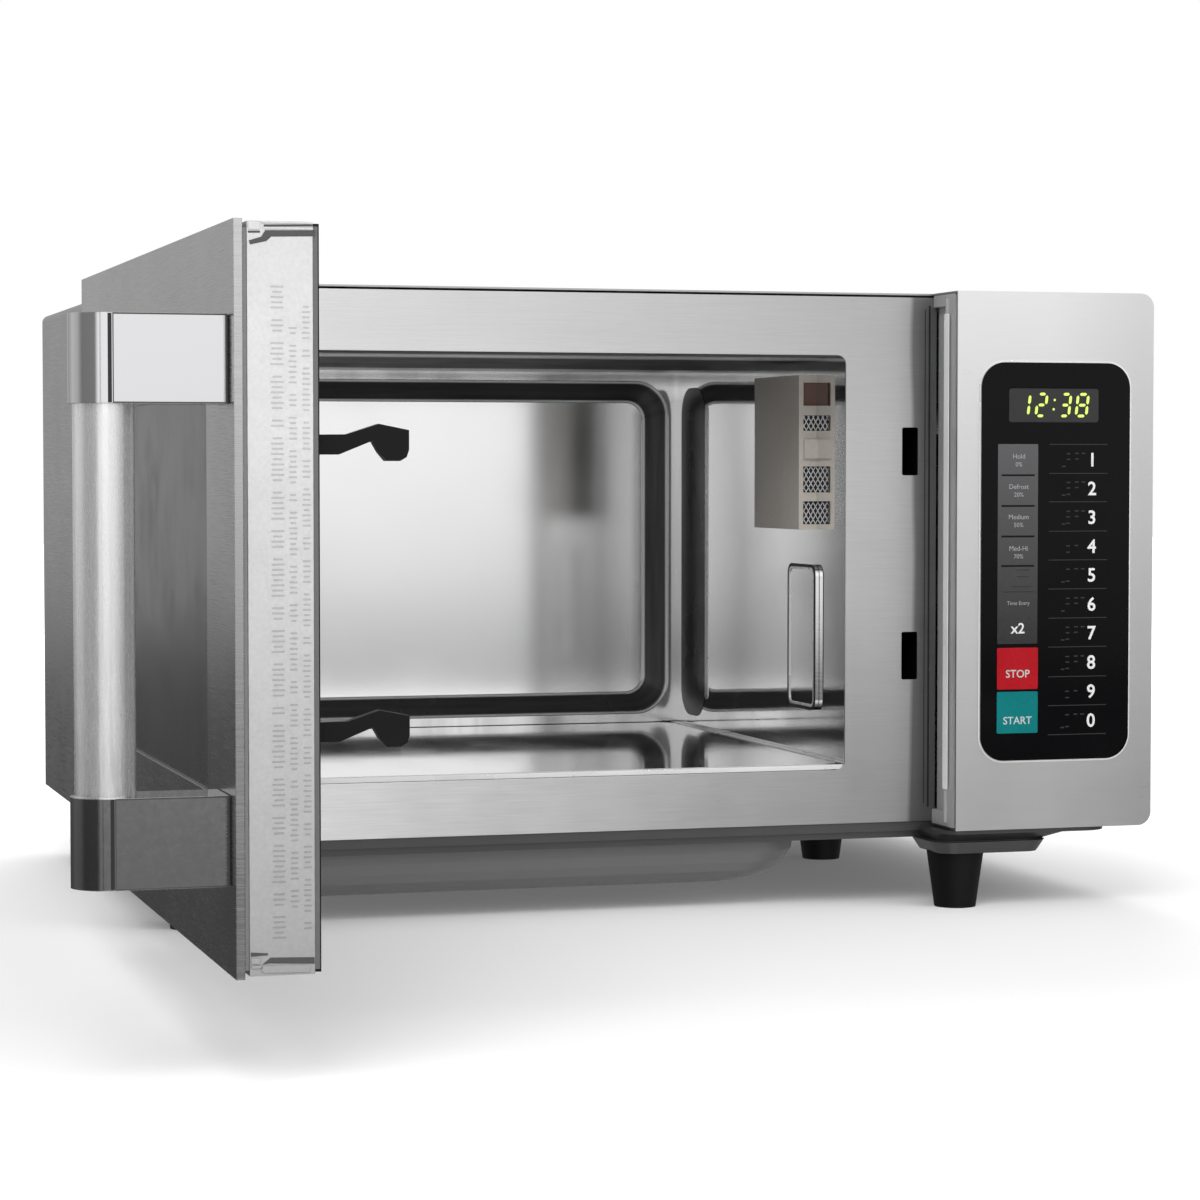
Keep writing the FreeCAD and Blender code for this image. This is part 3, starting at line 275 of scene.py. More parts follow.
# the door steel is painted darker towards the bottom: painted shade
steel_door = metal("door_brushed", (0.54, 0.54, 0.545), 0.24, FLAT_GRAIN, relief=0.04, vary=0.04,
                   shade=fading(0.30, 0.06, 0.72))
chrome = metal("bright_chrome", (0.60, 0.60, 0.61), 0.09, (500, 500, 500), vary=0.02, relief=0.008,
               rough_vary=0.02, cloud=9)
steel_grip = metal("grip_satin", (0.96, 0.96, 0.965), 0.25, (900, 900, 60), relief=0.02, metallic=0.84)
zinc = metal("zinc_plated", (0.55, 0.55, 0.53), 0.35, 300)
screw_steel = metal("screw_steel", (0.50, 0.50, 0.50), 0.30, 800)
aluminium = metal("fin_aluminium", (0.75, 0.75, 0.76), 0.33, (60, 900, 900))
spring_steel = metal("spring_wire", (0.35, 0.35, 0.36), 0.28, 900)
copper = metal("enamelled_copper", (0.62, 0.25, 0.12), 0.30, (900, 60, 900), coat=0.5)
iron = metal("laminated_core", (0.16, 0.16, 0.17), 0.50, (60, 60, 2200), relief=0.25)
mesh_steel = metal("mesh_wire", (0.06, 0.06, 0.06), 0.35, 900)
# the pale moulding is painted darker towards the bottom: painted shade
choke_plastic = plastic("pale_moulding", (0.49, 0.49, 0.49), 0.38, shade=fading(0.24, 0.04, 0.56))
black_plastic = plastic("black_moulding", (0.005, 0.005, 0.0055), 0.34, shine=0.16)
foot_rubber = plastic("foot_rubber", (0.005, 0.005, 0.005), 0.55, relief=0.2, shine=0.16)
film_black = plastic("gloss_film", (0.0025, 0.0025, 0.003), 0.10, relief=0.01, shine=0.10)
smoke = plastic("display_smoke", (0.03, 0.03, 0.032), 0.10, relief=0.01, shine=0.2)
beige = plastic("beige_moulding", (0.56, 0.52, 0.465), 0.42, edge=0)
edge_grey = plastic("inner_frame_grey", (0.10, 0.10, 0.10), 0.4, edge=0)
board_green = plastic("board_green", (0.03, 0.16, 0.07), 0.35)
fan_plastic = plastic("fan_nylon", (0.10, 0.10, 0.10), 0.45)


def glass(name, colour, rough, alpha):
    """A tinted, slightly clouded pane."""
    n = Nodes(name)
    s = n.shader
    cloudy = n.noise(35, 3, 0.6)
    s.inputs["Alpha"].default_value = alpha
    s.inputs["IOR"].default_value = 1.5
    n.link(n.mix(cloudy, tuple(c * 0.8 for c in colour), tuple(min(1, c * 1.2) for c in colour)),
           s.inputs["Base Color"])
    n.link(n.spread(cloudy, rough * 0.6, rough * 1.6), s.inputs["Roughness"])
    n.link(n.bump(n.noise(700, 2), 0.01, 0.0001), s.inputs["Normal"])
    return n.material


window_glass = glass("dark_window", (0.040, 0.041, 0.043), 0.16, 0.92)
clear_film = glass("clear_film", (0.30, 0.30, 0.30), 0.12, 0.35)
lamp_glass = glass("lamp_glass", (0.75, 0.70, 0.62), 0.15, 0.6)

BY_SLOT = {
    "casing_steel": steel_casing, "plate_steel": steel_front, "panel_steel": steel_fascia,
    "cavity_steel": steel_cavity, "pan_steel": steel_pan, "door_steel": steel_door, "bright_metal": chrome,
    "grip_steel": steel_grip, "choke_plastic": choke_plastic, "black_plastic": black_plastic,
    "film_black": film_black, "display_smoke": smoke, "cover_beige": beige, "feed_steel": steel_cavity,
    "mesh_metal": mesh_steel, "lamp_glass": lamp_glass, "window_glass": window_glass,
    "clear_film": clear_film, "foot_rubber": foot_rubber, "zinc_metal": zinc, "spring_steel": spring_steel,
    "screw_steel": screw_steel, "copper": copper, "core_iron": iron, "fin_aluminium": aluminium,
    "board_green": board_green, "fan_plastic": fan_plastic,
}
for part in frame["record"]["subparts"]:
    mesh = frame["nodes"][part["node"]].data
    mesh.materials.clear()
    mesh.materials.append(BY_SLOT[part["material_slot"]])
for name, look in (("belly_cover", steel_belly), ("cavity_floor_plate", steel_floor),
                   ("control_housing", steel_housing)):
    frame["nodes"][name].data.materials[0] = look


def recess_metal():
    """Mirror steel with an upright patch painted darker as a painted reflection, its front flange painted grey
    and brighter at the top as a painted highlight, and a drawn slope painted dark with streaks, a painted
    shade, between two beads painted white as painted highlights.
    """
    n = Nodes("recess_mirror")
    s = n.shader
    low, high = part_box("cavity_back_wall")
    near, far = low.y, high.y - MM
    depth = n.along("Y")
    slope = n.between(depth, near + 1.3 * MM, far - 1.2 * MM, 0.25 * MM)
    bead = n.math("MAXIMUM", n.between(depth, near + 0.25 * MM, near + 1.1 * MM, 0.25 * MM),
                  n.between(depth, far - 1.1 * MM, far - 0.2 * MM, 0.25 * MM))
    flange = n.spread(depth, 1, 0, near + 0.05 * MM, near + 0.3 * MM)
    streak = n.noise((14, 300, 14), 3)
    cloudy = n.noise(12, 3)
    base = n.mix(cloudy, (0.75, 0.75, 0.755), (0.85, 0.85, 0.855))
    sideways = n.math("MULTIPLY_ADD", n.noise((9, 9, 5), 3), 0.03, n.along("X"))
    # an upright patch of the back wall painted darker: a painted dark reflection
    painted_dark_reflection = n.between(sideways, 0.102, 0.134, 0.014)
    base = n.dimmed(base, n.math("MULTIPLY_ADD", painted_dark_reflection, -0.40, 1.0))
    # the flange is painted a streaky grey, paler at its top: a painted highlight
    rim = n.mix(n.noise((60, 60, 5), 3), (0.34, 0.34, 0.34), (0.84, 0.84, 0.84))
    base = n.mix(flange, base, n.dimmed(rim, n.spread(n.along("Z"), 1, 1.6, 0.262, 0.270)))
    # the slope is painted dark with streaks: painted shade
    base = n.mix(slope, base, n.mix(streak, (0.03, 0.03, 0.031), (0.16, 0.16, 0.162)))
    # the beads are painted white: painted highlights
    base = n.mix(bead, base, (1.0, 1.0, 1.0))
    n.link(base, s.inputs["Base Color"])
    n.link(n.math("SUBTRACT", 1.0, n.math("MULTIPLY_ADD", bead, 0.75, n.math("MULTIPLY", slope, 0.5))),
           s.inputs["Metallic"])
    n.link(n.math("ADD", n.spread(cloudy, 0.10, 0.14), n.math("MULTIPLY", n.math("ADD", slope, bead), 0.14)),
           s.inputs["Roughness"])
    n.link(n.bump(n.noise((30, 1500, 1500), 3), 0.015, FINE_BUMP), s.inputs["Normal"])
    return n.material


def ceiling_metal():
    """Painted reflections and painted shade: a dark sheet with bright satin bands painted across the oven, one
    near the door and one at the back.
    """
    n = Nodes("ceiling_painted_reflection")
    s = n.shader
    depth = n.math("MULTIPLY_ADD", n.noise((6, 3, 3), 2), 0.010, n.along("Y"))
    # the bright bands are painted reflections
    painted_bright_bands = n.math("MAXIMUM", n.between(depth, 0.040, 0.080, 0.010),
                  n.spread(depth, 0, 1, 0.250, 0.272))
    cloudy = n.noise(22, 3)
    # the dark between them is painted shade
    dark = n.mix(cloudy, (0.03, 0.03, 0.03), (0.08, 0.08, 0.08))
    n.link(n.mix(painted_bright_bands, dark, (0.98, 0.98, 0.98)), s.inputs["Base Color"])
    n.link(painted_bright_bands, s.inputs["Metallic"])
    s.inputs["Specular IOR Level"].default_value = 0.1
    n.link(n.spread(cloudy, 0.45, 0.60), s.inputs["Roughness"])
    n.link(n.bump(n.noise((30, 300, 30), 2), 0.02, FINE_BUMP), s.inputs["Normal"])
    return n.material


frame["nodes"]["cavity_back_wall"].data.materials[0] = recess_metal()
frame["nodes"]["cavity_ceiling"].data.materials[0] = ceiling_metal()


# ---------------------------------------------------------------- piece builders
def new_piece(name, mesh, look, body, bevel=0.0):
    """An object on a body, with its look and, if asked, softened edges."""
    item = bpy.data.objects.new(name, mesh)
    bpy.context.scene.collection.objects.link(item)
    mesh.materials.clear()
    mesh.materials.append(look)
    if bevel:
        modifier = item.modifiers.new("edge", "BEVEL")
        modifier.width = bevel
        modifier.segments = 2
        modifier.limit_method = "ANGLE"
    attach(item, body)
    return item


def rounded_outline(low_u, low_v, high_u, high_v, radius, steps=6):
    """The corners of a rectangle with rounded corners, anticlockwise."""
    points = []
    for cu, cv, start in ((high_u - radius, low_v + radius, -90), (high_u - radius, high_v - radius, 0),
                          (low_u + radius, high_v - radius, 90), (low_u + radius, low_v + radius, 180)):
        for k in range(steps + 1):
            angle = math.radians(start + 90 * k / steps)
            points.append((cu + radius * math.cos(angle), cv + radius * math.sin(angle)))
    return points


def to_front(u, v, depth):
    return (u * MM, depth * MM, v * MM)


def to_side(u, v, depth):
    return (depth * MM, u * MM, v * MM)


def to_top(u, v, depth):
    return (u * MM, v * MM, depth * MM)


def slabs(outlines, near, far, place=to_front):
    """A mesh of flat plates, one for each outline in mm, between two depths."""
    mesh = bpy.data.meshes.new("slab")
    bm = bmesh.new()
    for outline in outlines:
        rows = [[bm.verts.new(place(u, v, depth)) for u, v in outline] for depth in (near, far)]
        bm.faces.new(rows[0])
        bm.faces.new(rows[1][::-1])
        count = len(outline)
        for k in range(count):
            bm.faces.new((rows[0][k], rows[1][k], rows[1][(k + 1) % count], rows[0][(k + 1) % count]))
    bmesh.ops.recalc_face_normals(bm, faces=bm.faces)
    bm.to_mesh(mesh)
    bm.free()
    return mesh


def rect(low_u, low_v, high_u, high_v):
    return [(low_u, low_v), (high_u, low_v), (high_u, high_v), (low_u, high_v)]


CAPITAL_HEIGHT = 0.73                # of the built-in font at size 1


def lettering(rows, near, far, weight=0.0):
    """One mesh of words and numbers facing the front: (text, centre u, centre v, height) in mm."""
    whole = bmesh.new()
    for text, u, v, height in rows:
        curve = bpy.data.curves.new("word", "FONT")
        curve.body = text
        curve.align_x, curve.align_y = "CENTER", "CENTER"
        curve.size = height / CAPITAL_HEIGHT
        curve.offset = weight * height
        curve.extrude = abs(far - near) / 2
        curve.resolution_u = 3
        item = bpy.data.objects.new("word", curve)
        bpy.context.scene.collection.objects.link(item)
        bpy.context.view_layer.update()
        mesh = bpy.data.meshes.new_from_object(item.evaluated_get(bpy.context.evaluated_depsgraph_get()))
        heights = [c.co.y for c in mesh.vertices]
        middle = (min(heights) + max(heights)) / 2
        for c in mesh.vertices:
            c.co = to_front(u + c.co.x, v + c.co.y - middle, (near + far) / 2 - c.co.z)
        whole.from_mesh(mesh)
        bpy.data.objects.remove(item)
        bpy.data.meshes.remove(mesh)
        bpy.data.curves.remove(curve)
    mesh = bpy.data.meshes.new("lettering")
    bmesh.ops.remove_doubles(whole, verts=whole.verts, dist=1e-6)
    whole.to_mesh(mesh)
    whole.free()
    return mesh


def pierced(outline, holes, near, far):
    """A flat sheet facing the front with holes, outlines in mm."""
    curve = bpy.data.curves.new("sheet_outline", "CURVE")
    curve.dimensions = "2D"
    curve.fill_mode = "BOTH"
    curve.extrude = abs(far - near) / 2
    for points in (outline, *holes):
        line = curve.splines.new("POLY")
        line.points.add(len(points) - 1)
        line.use_cyclic_u = True
        for point, (u, v) in zip(line.points, points):
            point.co = (u, v, 0, 1)
    item = bpy.data.objects.new("sheet_outline", curve)
    bpy.context.scene.collection.objects.link(item)
    bpy.context.view_layer.update()
    mesh = bpy.data.meshes.new_from_object(item.evaluated_get(bpy.context.evaluated_depsgraph_get()))
    for c in mesh.vertices:
        c.co = to_front(c.co.x, c.co.y, (near + far) / 2 - c.co.z)
    for flat in mesh.polygons:
        flat.use_smooth = False
    bpy.data.objects.remove(item)
    bpy.data.curves.remove(curve)
    return mesh


def glow(name, colour, strength):
    """A lit display segment."""
    n = Nodes(name)
    s = n.shader
    base = n.mix(n.noise(900, 2), tuple(c * 0.85 for c in colour), colour)
    n.link(base, s.inputs["Base Color"])
    n.link(base, s.inputs["Emission Color"])
    s.inputs["Emission Strength"].default_value = strength
    s.inputs["Roughness"].default_value = 0.4
    return n.material


# ---------------------------------------------------------------- keypad and display
OVEN_X = 41.3                        # the oven's own middle, in the row frame
KEY_X = OVEN_X + 181                 # the middle of the grey, red and teal keys
RAISED, KEY_RAISED = 0.18, 0.3       # how far the grey keys, and the red and teal ones, stand off the film
LETTER_RAISED = 0.1
SEPARATORS = (219.1, 203.7, 188.4, 173.6)
ROWS = (234.6, 220.0, 205.7, 190.9, 176.4, 161.8, 147.1, 132.5, 117.5, 102.9, 88.2)
row_middles = [(above + below) / 2 - 0.4 for above, below in zip(ROWS, ROWS[1:])]
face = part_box("control_membrane")[0].y / MM


def keypad_grey():
    """The grey of the function keys, paler towards the top."""
    n = Nodes("key_grey")
    s = n.shader
    tone = n.spread(n.along("Z"), 0, 1, 0.134, 0.235)
    fine = n.noise(900, 2)
    base = n.mix(tone, (0.020, 0.020, 0.021), (0.080, 0.080, 0.083))
    s.inputs["Specular IOR Level"].default_value = 0.15
    n.link(n.mix(n.math("MULTIPLY", fine, 0.12), base, (0.12, 0.12, 0.12)), s.inputs["Base Color"])
    n.link(n.spread(n.noise(40, 2), 0.22, 0.34), s.inputs["Roughness"])
    n.link(n.bump(fine, 0.05, 0.0001), s.inputs["Normal"])
    return n.material


def ink(name, *colour):
    return plastic(name, colour, 0.35, relief=0.02, edge=0.0001, shine=0.15)


def film_piece(name, mesh, look, bevel=0.0):
    new_piece(name, mesh, look, "oven", bevel)


key_grey = keypad_grey()
key_red = plastic("key_red", (0.34, 0.004, 0.010), 0.30, relief=0.05, vary=0.15, shine=0.12)
key_teal = plastic("key_teal", (0.0, 0.145, 0.15), 0.30, relief=0.05, vary=0.15, shine=0.12)
print_white = ink("print_white", 0.60, 0.60, 0.60)
print_pale = ink("print_pale", 0.42, 0.46, 0.46)
print_grey = ink("print_grey", 0.28, 0.28, 0.285)
print_dim = ink("print_dim", 0.026, 0.026, 0.027)
line_dark = ink("line_dark", 0.004, 0.004, 0.004)

film_piece("function_keys", slabs([rounded_outline(OVEN_X + 169.7, 134.4, OVEN_X + 191.5, 234.7, 0.6)],
                                  face - RAISED, face), key_grey, 0.05 * MM)
film_piece("function_separators",
           slabs([rect(OVEN_X + 171.7, z - 0.45, OVEN_X + 189.6, z + 0.45) for z in SEPARATORS],
                 face - RAISED - 0.08, face - RAISED), line_dark)
for name, low, high, look in (("stop_key", 111.5, 132.5, key_red), ("start_key", 89.4, 110.4, key_teal)):
    outline = rounded_outline(OVEN_X + 169.6, low, OVEN_X + 191.9, high, 0.8)
    film_piece(name, slabs([outline], face - KEY_RAISED, face), look, 0.08 * MM)
labels = [(text, KEY_X, z, size) for text, z, size in (
    ("Hold", 228.6, 2.5), ("0%", 224.6, 2.3), ("Defrost", 213.4, 2.5), ("20%", 209.4, 2.3),
    ("Medium", 198.2, 2.5), ("50%", 194.2, 2.3), ("Med-Hi", 182.4, 2.5), ("70%", 178.4, 2.3),
    ("Time Entry", 154.6, 2.0))]
film_piece("function_labels", lettering(labels, face - RAISED - LETTER_RAISED, face - RAISED), print_grey)
film_piece("timer_lines", slabs([rect(OVEN_X + low, z - 0.2, OVEN_X + high, z + 0.2) for low, high, z in (
    (180, 187, 171.6), (180, 187, 168.2), (177, 188, 163.2), (172, 190, 160.6))],
    face - RAISED - 0.06, face - RAISED), print_dim)
film_piece("double_label", lettering([("x2", OVEN_X + 180.9, 142.3, 5.4)],
                                     face - RAISED - LETTER_RAISED, face - RAISED, 0.02), print_white)
actions = [("STOP", KEY_X - 0.2, 119.4, 4.0), ("START", KEY_X - 0.2, 95.9, 3.9)]
film_piece("action_labels", lettering(actions, face - KEY_RAISED - LETTER_RAISED, face - KEY_RAISED, 0.012),
           print_pale)
film_piece("number_lines", slabs([rect(OVEN_X + 197.6, z - 0.22, OVEN_X + 229.6, z + 0.22) for z in ROWS],
                                 face - 0.08, face), print_dim)
film_piece("number_digits", lettering([(digit, OVEN_X + 221.2, z, 7.0)
                                       for digit, z in zip("1234567890", row_middles)],
                                      face - 0.12, face, 0.022), print_white)

# small raised dashes beside each digit, a different few of them in each row
DASH_LONG, DASH_HALF = 2.2, 0.35
DASHES = ((204.4, (-3.4,)), (207.0, (3.0, 0.2, -3.0)), (211.6, (3.2, 0.4)), (215.2, (3.2,)))
dots = []
for k, middle in enumerate(row_middles):
    for column, (start, levels) in enumerate(DASHES):
        for row, level in enumerate(levels):
            if (k * 3 + column * 5 + row * 7) % 5 == 4:
                continue
            left, z = OVEN_X + start, middle + level
            dots.append(rounded_outline(left, z - DASH_HALF, left + DASH_LONG, z + DASH_HALF, 0.34, 3))
film_piece("raised_dots", slabs(dots, face - 0.15, face), print_dim, 0.04 * MM)

SEGMENTS = {"a": ((0.16, 1), (0.84, 1)), "b": ((1, 0.94), (1, 0.54)), "c": ((1, 0.46), (1, 0.06)),
            "d": ((0.16, 0), (0.84, 0)), "e": ((0, 0.46), (0, 0.06)), "f": ((0, 0.94), (0, 0.54)),
            "g": ((0.16, 0.5), (0.84, 0.5))}
LIT = {"1": "bc", "2": "abged", "3": "abgcd", "8": "abcdefg"}
DISPLAY_LOW, DISPLAY_TALL, SEGMENT_HALF, LEAN = 248.9, 10.9, 0.72, 0.12
segments = []
for digit, left, wide in (("1", 180.6, 5.2), ("2", 190.1, 4.9), ("3", 203.1, 4.9), ("8", 212.0, 5.6)):
    for name in LIT[digit]:
        (u0, v0), (u1, v1) = SEGMENTS[name]
        along = Vector(((u1 - u0) * wide, (v1 - v0) * DISPLAY_TALL)).normalized() * SEGMENT_HALF
        side = Vector((-along.y, along.x))
        start = Vector((left + u0 * wide, DISPLAY_LOW + v0 * DISPLAY_TALL))
        end = Vector((left + u1 * wide, DISPLAY_LOW + v1 * DISPLAY_TALL))
        shape = (start - along * 0.1, start + along + side, end - along + side, end + along * 0.1,
                 end - along - side, start + along - side)
        segments.append([(OVEN_X + c.x + (c.y - DISPLAY_LOW) * LEAN, c.y) for c in shape])
for level in (252.2, 256.9):         # the colon
    u = OVEN_X + 199.4 + (level - DISPLAY_LOW) * LEAN
    segments.append(rounded_outline(u - 0.6, level - 0.6, u + 0.6, level + 0.6, 0.55, 4))
display_low, display_high = (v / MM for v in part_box("display_lens"))
display_grey = plastic("display_grey", (0.024, 0.024, 0.025), 0.14, relief=0.01, shine=0.2)
display_window = slabs([rounded_outline(display_low.x + 0.2, display_low.z + 0.2, display_high.x - 0.2,
                                        display_high.z - 0.2, 1.4)], face - 0.06, face)
new_piece("display_window", display_window, display_grey, "oven")
new_piece("display_digits", slabs(segments, face - 0.14, face - 0.06),
          glow("segment_green", (0.50, 0.68, 0.10), 0.55), "oven")

# ---------------------------------------------------------------- door free edge
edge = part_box("door_choke_cover")[0].y / MM      # the moulding's end face
skin_low, skin_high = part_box("door_outer_skin")
skin_x, door_bottom, door_top = skin_low.x / MM, skin_low.z / MM, skin_high.z / MM
# the ribs are painted darker than the moulding, a painted shade for their relief, and darker towards the
# bottom, also painted shade
emboss_painted_shade = plastic("emboss_painted_shade", (0.37, 0.37, 0.37), 0.4, relief=0.05, edge=0,
                      shade=fading(0.24, 0.04, 0.56))
groove_grey = plastic("groove_grey", (0.17, 0.17, 0.17), 0.4, relief=0.05)
slot_grey = plastic("slot_grey", (0.055, 0.055, 0.055), 0.4, relief=0.05)
EDGE_SLOTS = [                       # dark slots at the top and the foot of the moulding's end
    [(-229.7, 306.9), (-211.9, 307.2), (-211.9, 305.1), (-227.6, 304.7), (-229.3, 303.1), (-235.2, 301.8),
     (-235.6, 303.2), (-231.2, 304.6)],
    [(-230.2, 308.9), (-212.8, 309.3), (-212.8, 308.6), (-230.2, 308.2)],
    [(-235.9, 306.6), (-231.6, 306.7), (-231.6, 306.0), (-235.9, 305.9)],
    [(-228.9, 48.3), (-212.9, 47.8), (-212.9, 45.5), (-229.6, 46.3), (-231.8, 45.9)],
    [(-236.0, 50.4), (-229.8, 49.9), (-229.8, 49.2), (-235.9, 48.9)]]
EDGE_STEPS = [                       # the raised steps between them
    rect(-230.6, 307.4, -212.6, 308.1), rect(-235.9, 307.2, -231.8, 310.0),
    rect(-231.2, 309.5, -212.8, 310.1), rect(-235.9, 46.2, -232.6, 48.2), rect(-235.9, 44.6, -232.2, 45.6),
    [(-231.6, 45.6), (-214.6, 45.1), (-214.6, 42.6), (-231.0, 42.9), (-232.2, 43.6)]]
new_piece("door_groove_filler", slabs([rect(skin_x + 3.25, door_bottom + 3, skin_x + 4.95, door_top - 3)],
                                      edge + 0.5, edge + 3), groove_grey, "door")
new_piece("door_edge_slots", slabs(EDGE_SLOTS, edge - 0.12, edge), slot_grey, "door")
new_piece("door_edge_steps", slabs(EDGE_STEPS, edge - 0.5, edge), choke_plastic, "door",
          0.15 * MM)

inner_low, inner_high = (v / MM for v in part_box("door_inner_frame"))
inner_edge = rect(inner_low.x + 0.05, inner_low.z + 1, inner_high.x - 0.5, inner_high.z - 1)
new_piece("door_inner_edge", slabs([inner_edge], inner_low.y - 0.15, inner_low.y), edge_grey, "door")

# three upright rows of plain ribs, grouped like words: middle, half width, lowest and highest
RIB_ROWS = ((-225.6, 2.4, 55, 288), (-220.0, 1.5, 66, 274), (-215.2, 1.5, 58, 281))
RIB_TALL, RIB_PITCH, WORD_GAP = 0.62, 1.85, 2.6
WORD_LENGTHS, RIB_WIDTHS = (5, 3, 8, 4, 6, 9, 2, 7), (1, 0.72, 1, 0.86)
ribs = []
for column, (centre, half, low, high) in enumerate(RIB_ROWS):
    z, k = low, 0
    while z < high:
        for step in range(WORD_LENGTHS[(k + column * 3) % 8]):
            wide = half * RIB_WIDTHS[(step + k + column) % 4]
            if z + 0.6 > high:
                break
            ribs.append(rounded_outline(centre - wide, z, centre + wide, z + RIB_TALL, 0.28, 2))
            z += RIB_PITCH
        z += WORD_GAP
        k += 1
new_piece("door_edge_ribs", slabs(ribs, edge - 0.13, edge), emboss_painted_shade, "door", 0.05 * MM)

# ---------------------------------------------------------------- handle bracket seams and borders
SEAM_X, GASKET_X = (-284.3, -282.9), (-242.5, -241.35)
BORDER_X, BORDER_INNER_X = (-282.6, -241.8), (-282.2, -242.4)
BRACKETS = ("handle_bracket_upper", "handle_bracket_lower")
seam_dark = plastic("seam_dark", (0.01, 0.01, 0.01), 0.5, relief=0.02, edge=0)
border_dark = plastic("border_dark", (0.045, 0.045, 0.045), 0.35, relief=0.02, edge=0)
for name in BRACKETS:
    low, high = (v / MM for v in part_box(name))
    seam = rect(SEAM_X[0], low.z + 0.3, SEAM_X[1], high.z - 0.3)
    gasket = rect(GASKET_X[0], low.z + 0.5, GASKET_X[1], high.z - 0.5)
    new_piece(name + "_seam", slabs([seam], low.y - 0.12, low.y + 0.3), seam_dark, "door")
    new_piece(name + "_gasket", slabs([gasket], low.y - 0.08, low.y + 0.3), seam_dark, "door")
for name in BRACKETS:
    low, high = (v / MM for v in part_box(name))
    outer = rect(BORDER_X[0], low.z + 0.1, BORDER_X[1], high.z - 0.1)
    inner = rect(BORDER_INNER_X[0], low.z + 0.65, BORDER_INNER_X[1], high.z - 0.65)
    new_piece(name + "_border", pierced(outer, [inner], low.y - 0.1, low.y), border_dark, "door")

# ---------------------------------------------------------------- the plate in one sheet, and its trim
plate_low, plate_high = (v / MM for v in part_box("front_plate"))
opening = rounded_outline(OVEN_X - 229, 70.1, OVEN_X + 101, 279.4, 4.5, 8)
hook_slots = [rounded_outline(OVEN_X + 131.5, z, OVEN_X + 140.1, z + 24.2, 0.8, 3) for z in (219.0, 115.3)]
hinge_slots = [rounded_outline(OVEN_X - 253.2, z - 0.2, OVEN_X - 245.8, z + 2.7, 0.5, 3)
               for z in (295.0, 54.5)]
plate = pierced(rounded_outline(plate_low.x, plate_low.z, plate_high.x, plate_high.z, 1),
                [opening, *hook_slots, *hinge_slots], plate_low.y, plate_high.y)
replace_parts(new_piece("front_plate_sheet", plate, steel_front, "oven"), "front_plate")

# pale half-metal for rims, beads and the floor's front strip: its paleness is a painted highlight along them
pale_painted_highlight = metal("pale_painted_highlight", (0.86, 0.86, 0.865), 0.30, (40, 40, 40), relief=0.002, metallic=0.5,
                    edge=0)
# the channel bead's white is a painted highlight
white_painted_highlight = plastic("white_painted_highlight", (0.93, 0.93, 0.93), 0.30, relief=0.01, vary=0.04, edge=0)
lattice_grey = metal("lattice_grey", (0.80, 0.80, 0.81), 0.35, (60, 60, 300), relief=0.005, metallic=0.4,
                     edge=0)
lamp_amber = plastic("lamp_amber", (0.125, 0.055, 0.035), 0.35, relief=0.02, edge=0)
# dark steel for a patch on the cavity's right wall: a painted reflection of the back wall's dark flange
dark_painted_reflection = metal("dark_painted_reflection", (0.045, 0.045, 0.046), 0.30, (14, 14, 14), relief=0.002, vary=0.2,
                    edge=0)
side_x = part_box("control_housing")[0].x / MM
channel_bead = rounded_outline(-8.2, 61, -2.2, 300, 0.8, 3)      # Y and Z, on the panel's side
channel_lines = [rect(187.0, 50, 187.9, 305), rect(184.9, 52, 185.3, 303)]
new_piece("channel_bead", slabs([channel_bead], side_x - 0.3, side_x, to_side), white_painted_highlight, "oven")
new_piece("channel_lines", slabs(channel_lines, plate_low.y - 0.12, plate_low.y), seam_dark, "oven")
membrane_low, membrane_high = (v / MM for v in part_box("control_membrane"))
fascia_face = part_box("control_fascia")[0].y / MM
outer, inner = (rounded_outline(membrane_low.x - g, membrane_low.z - g, membrane_high.x + g,
                                membrane_high.z + g, 12.5 + g, 10) for g in (1.0, 0.0))
rim = pierced(outer, [inner], fascia_face - 0.35, fascia_face)
new_piece("membrane_rim", rim, pale_painted_highlight, "oven")

# ---------------------------------------------------------------- feed cover rim
feed_low, feed_high = (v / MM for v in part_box("waveguide_feed_cover"))


def feed_ring(grow, wide):
    """An outline round the feed cover, facing the middle of the cavity."""
    rings = [rounded_outline(feed_low.y - g, feed_low.z - g, feed_high.y + g, feed_high.z + g, 6 + g, 6)
             for g in (grow, grow - wide)]
    bm = bmesh.new()
    loops = [[bm.verts.new(to_side(u, v, x)) for u, v in ring]
             for ring in rings for x in (feed_low.x, feed_low.x - 0.5)]
    count = len(rings[0])
    for a, b in ((0, 1), (1, 3), (3, 2), (2, 0)):
        for k in range(count):
            bm.faces.new((loops[a][k], loops[b][k], loops[b][(k + 1) % count], loops[a][(k + 1) % count]))
    bmesh.ops.recalc_face_normals(bm, faces=bm.faces)
    mesh = bpy.data.meshes.new("ring")
    bm.to_mesh(mesh)
    bm.free()
    return mesh


new_piece("feed_cover_gasket", feed_ring(0.0, 1.6), seam_dark, "oven")
new_piece("feed_cover_rim", feed_ring(-1.7, 1.2), pale_painted_highlight, "oven")


def lattice(low_u, low_v, high_u, high_v, pitch, half):
    """Crossing slanted wires that fill a rectangle."""
    bars = []
    for slope in (1.7, -1.7):
        rise = slope * (high_u - low_u)
        start = low_v - max(rise, 0)
        while start < high_v - min(rise, 0):
            ends = []
            for v in (low_v, high_v):
                u = low_u + (v - start) / slope
                ends.append((min(max(u, low_u), high_u), start + slope * (min(max(u, low_u), high_u) - low_u)))
            (u0, v0), (u1, v1) = ends
            if abs(u1 - u0) > 0.3:
                bars.append([(u0, v0 - half), (u1, v1 - half), (u1, v1 + half), (u0, v0 + half)])
            start += pitch
    return bars


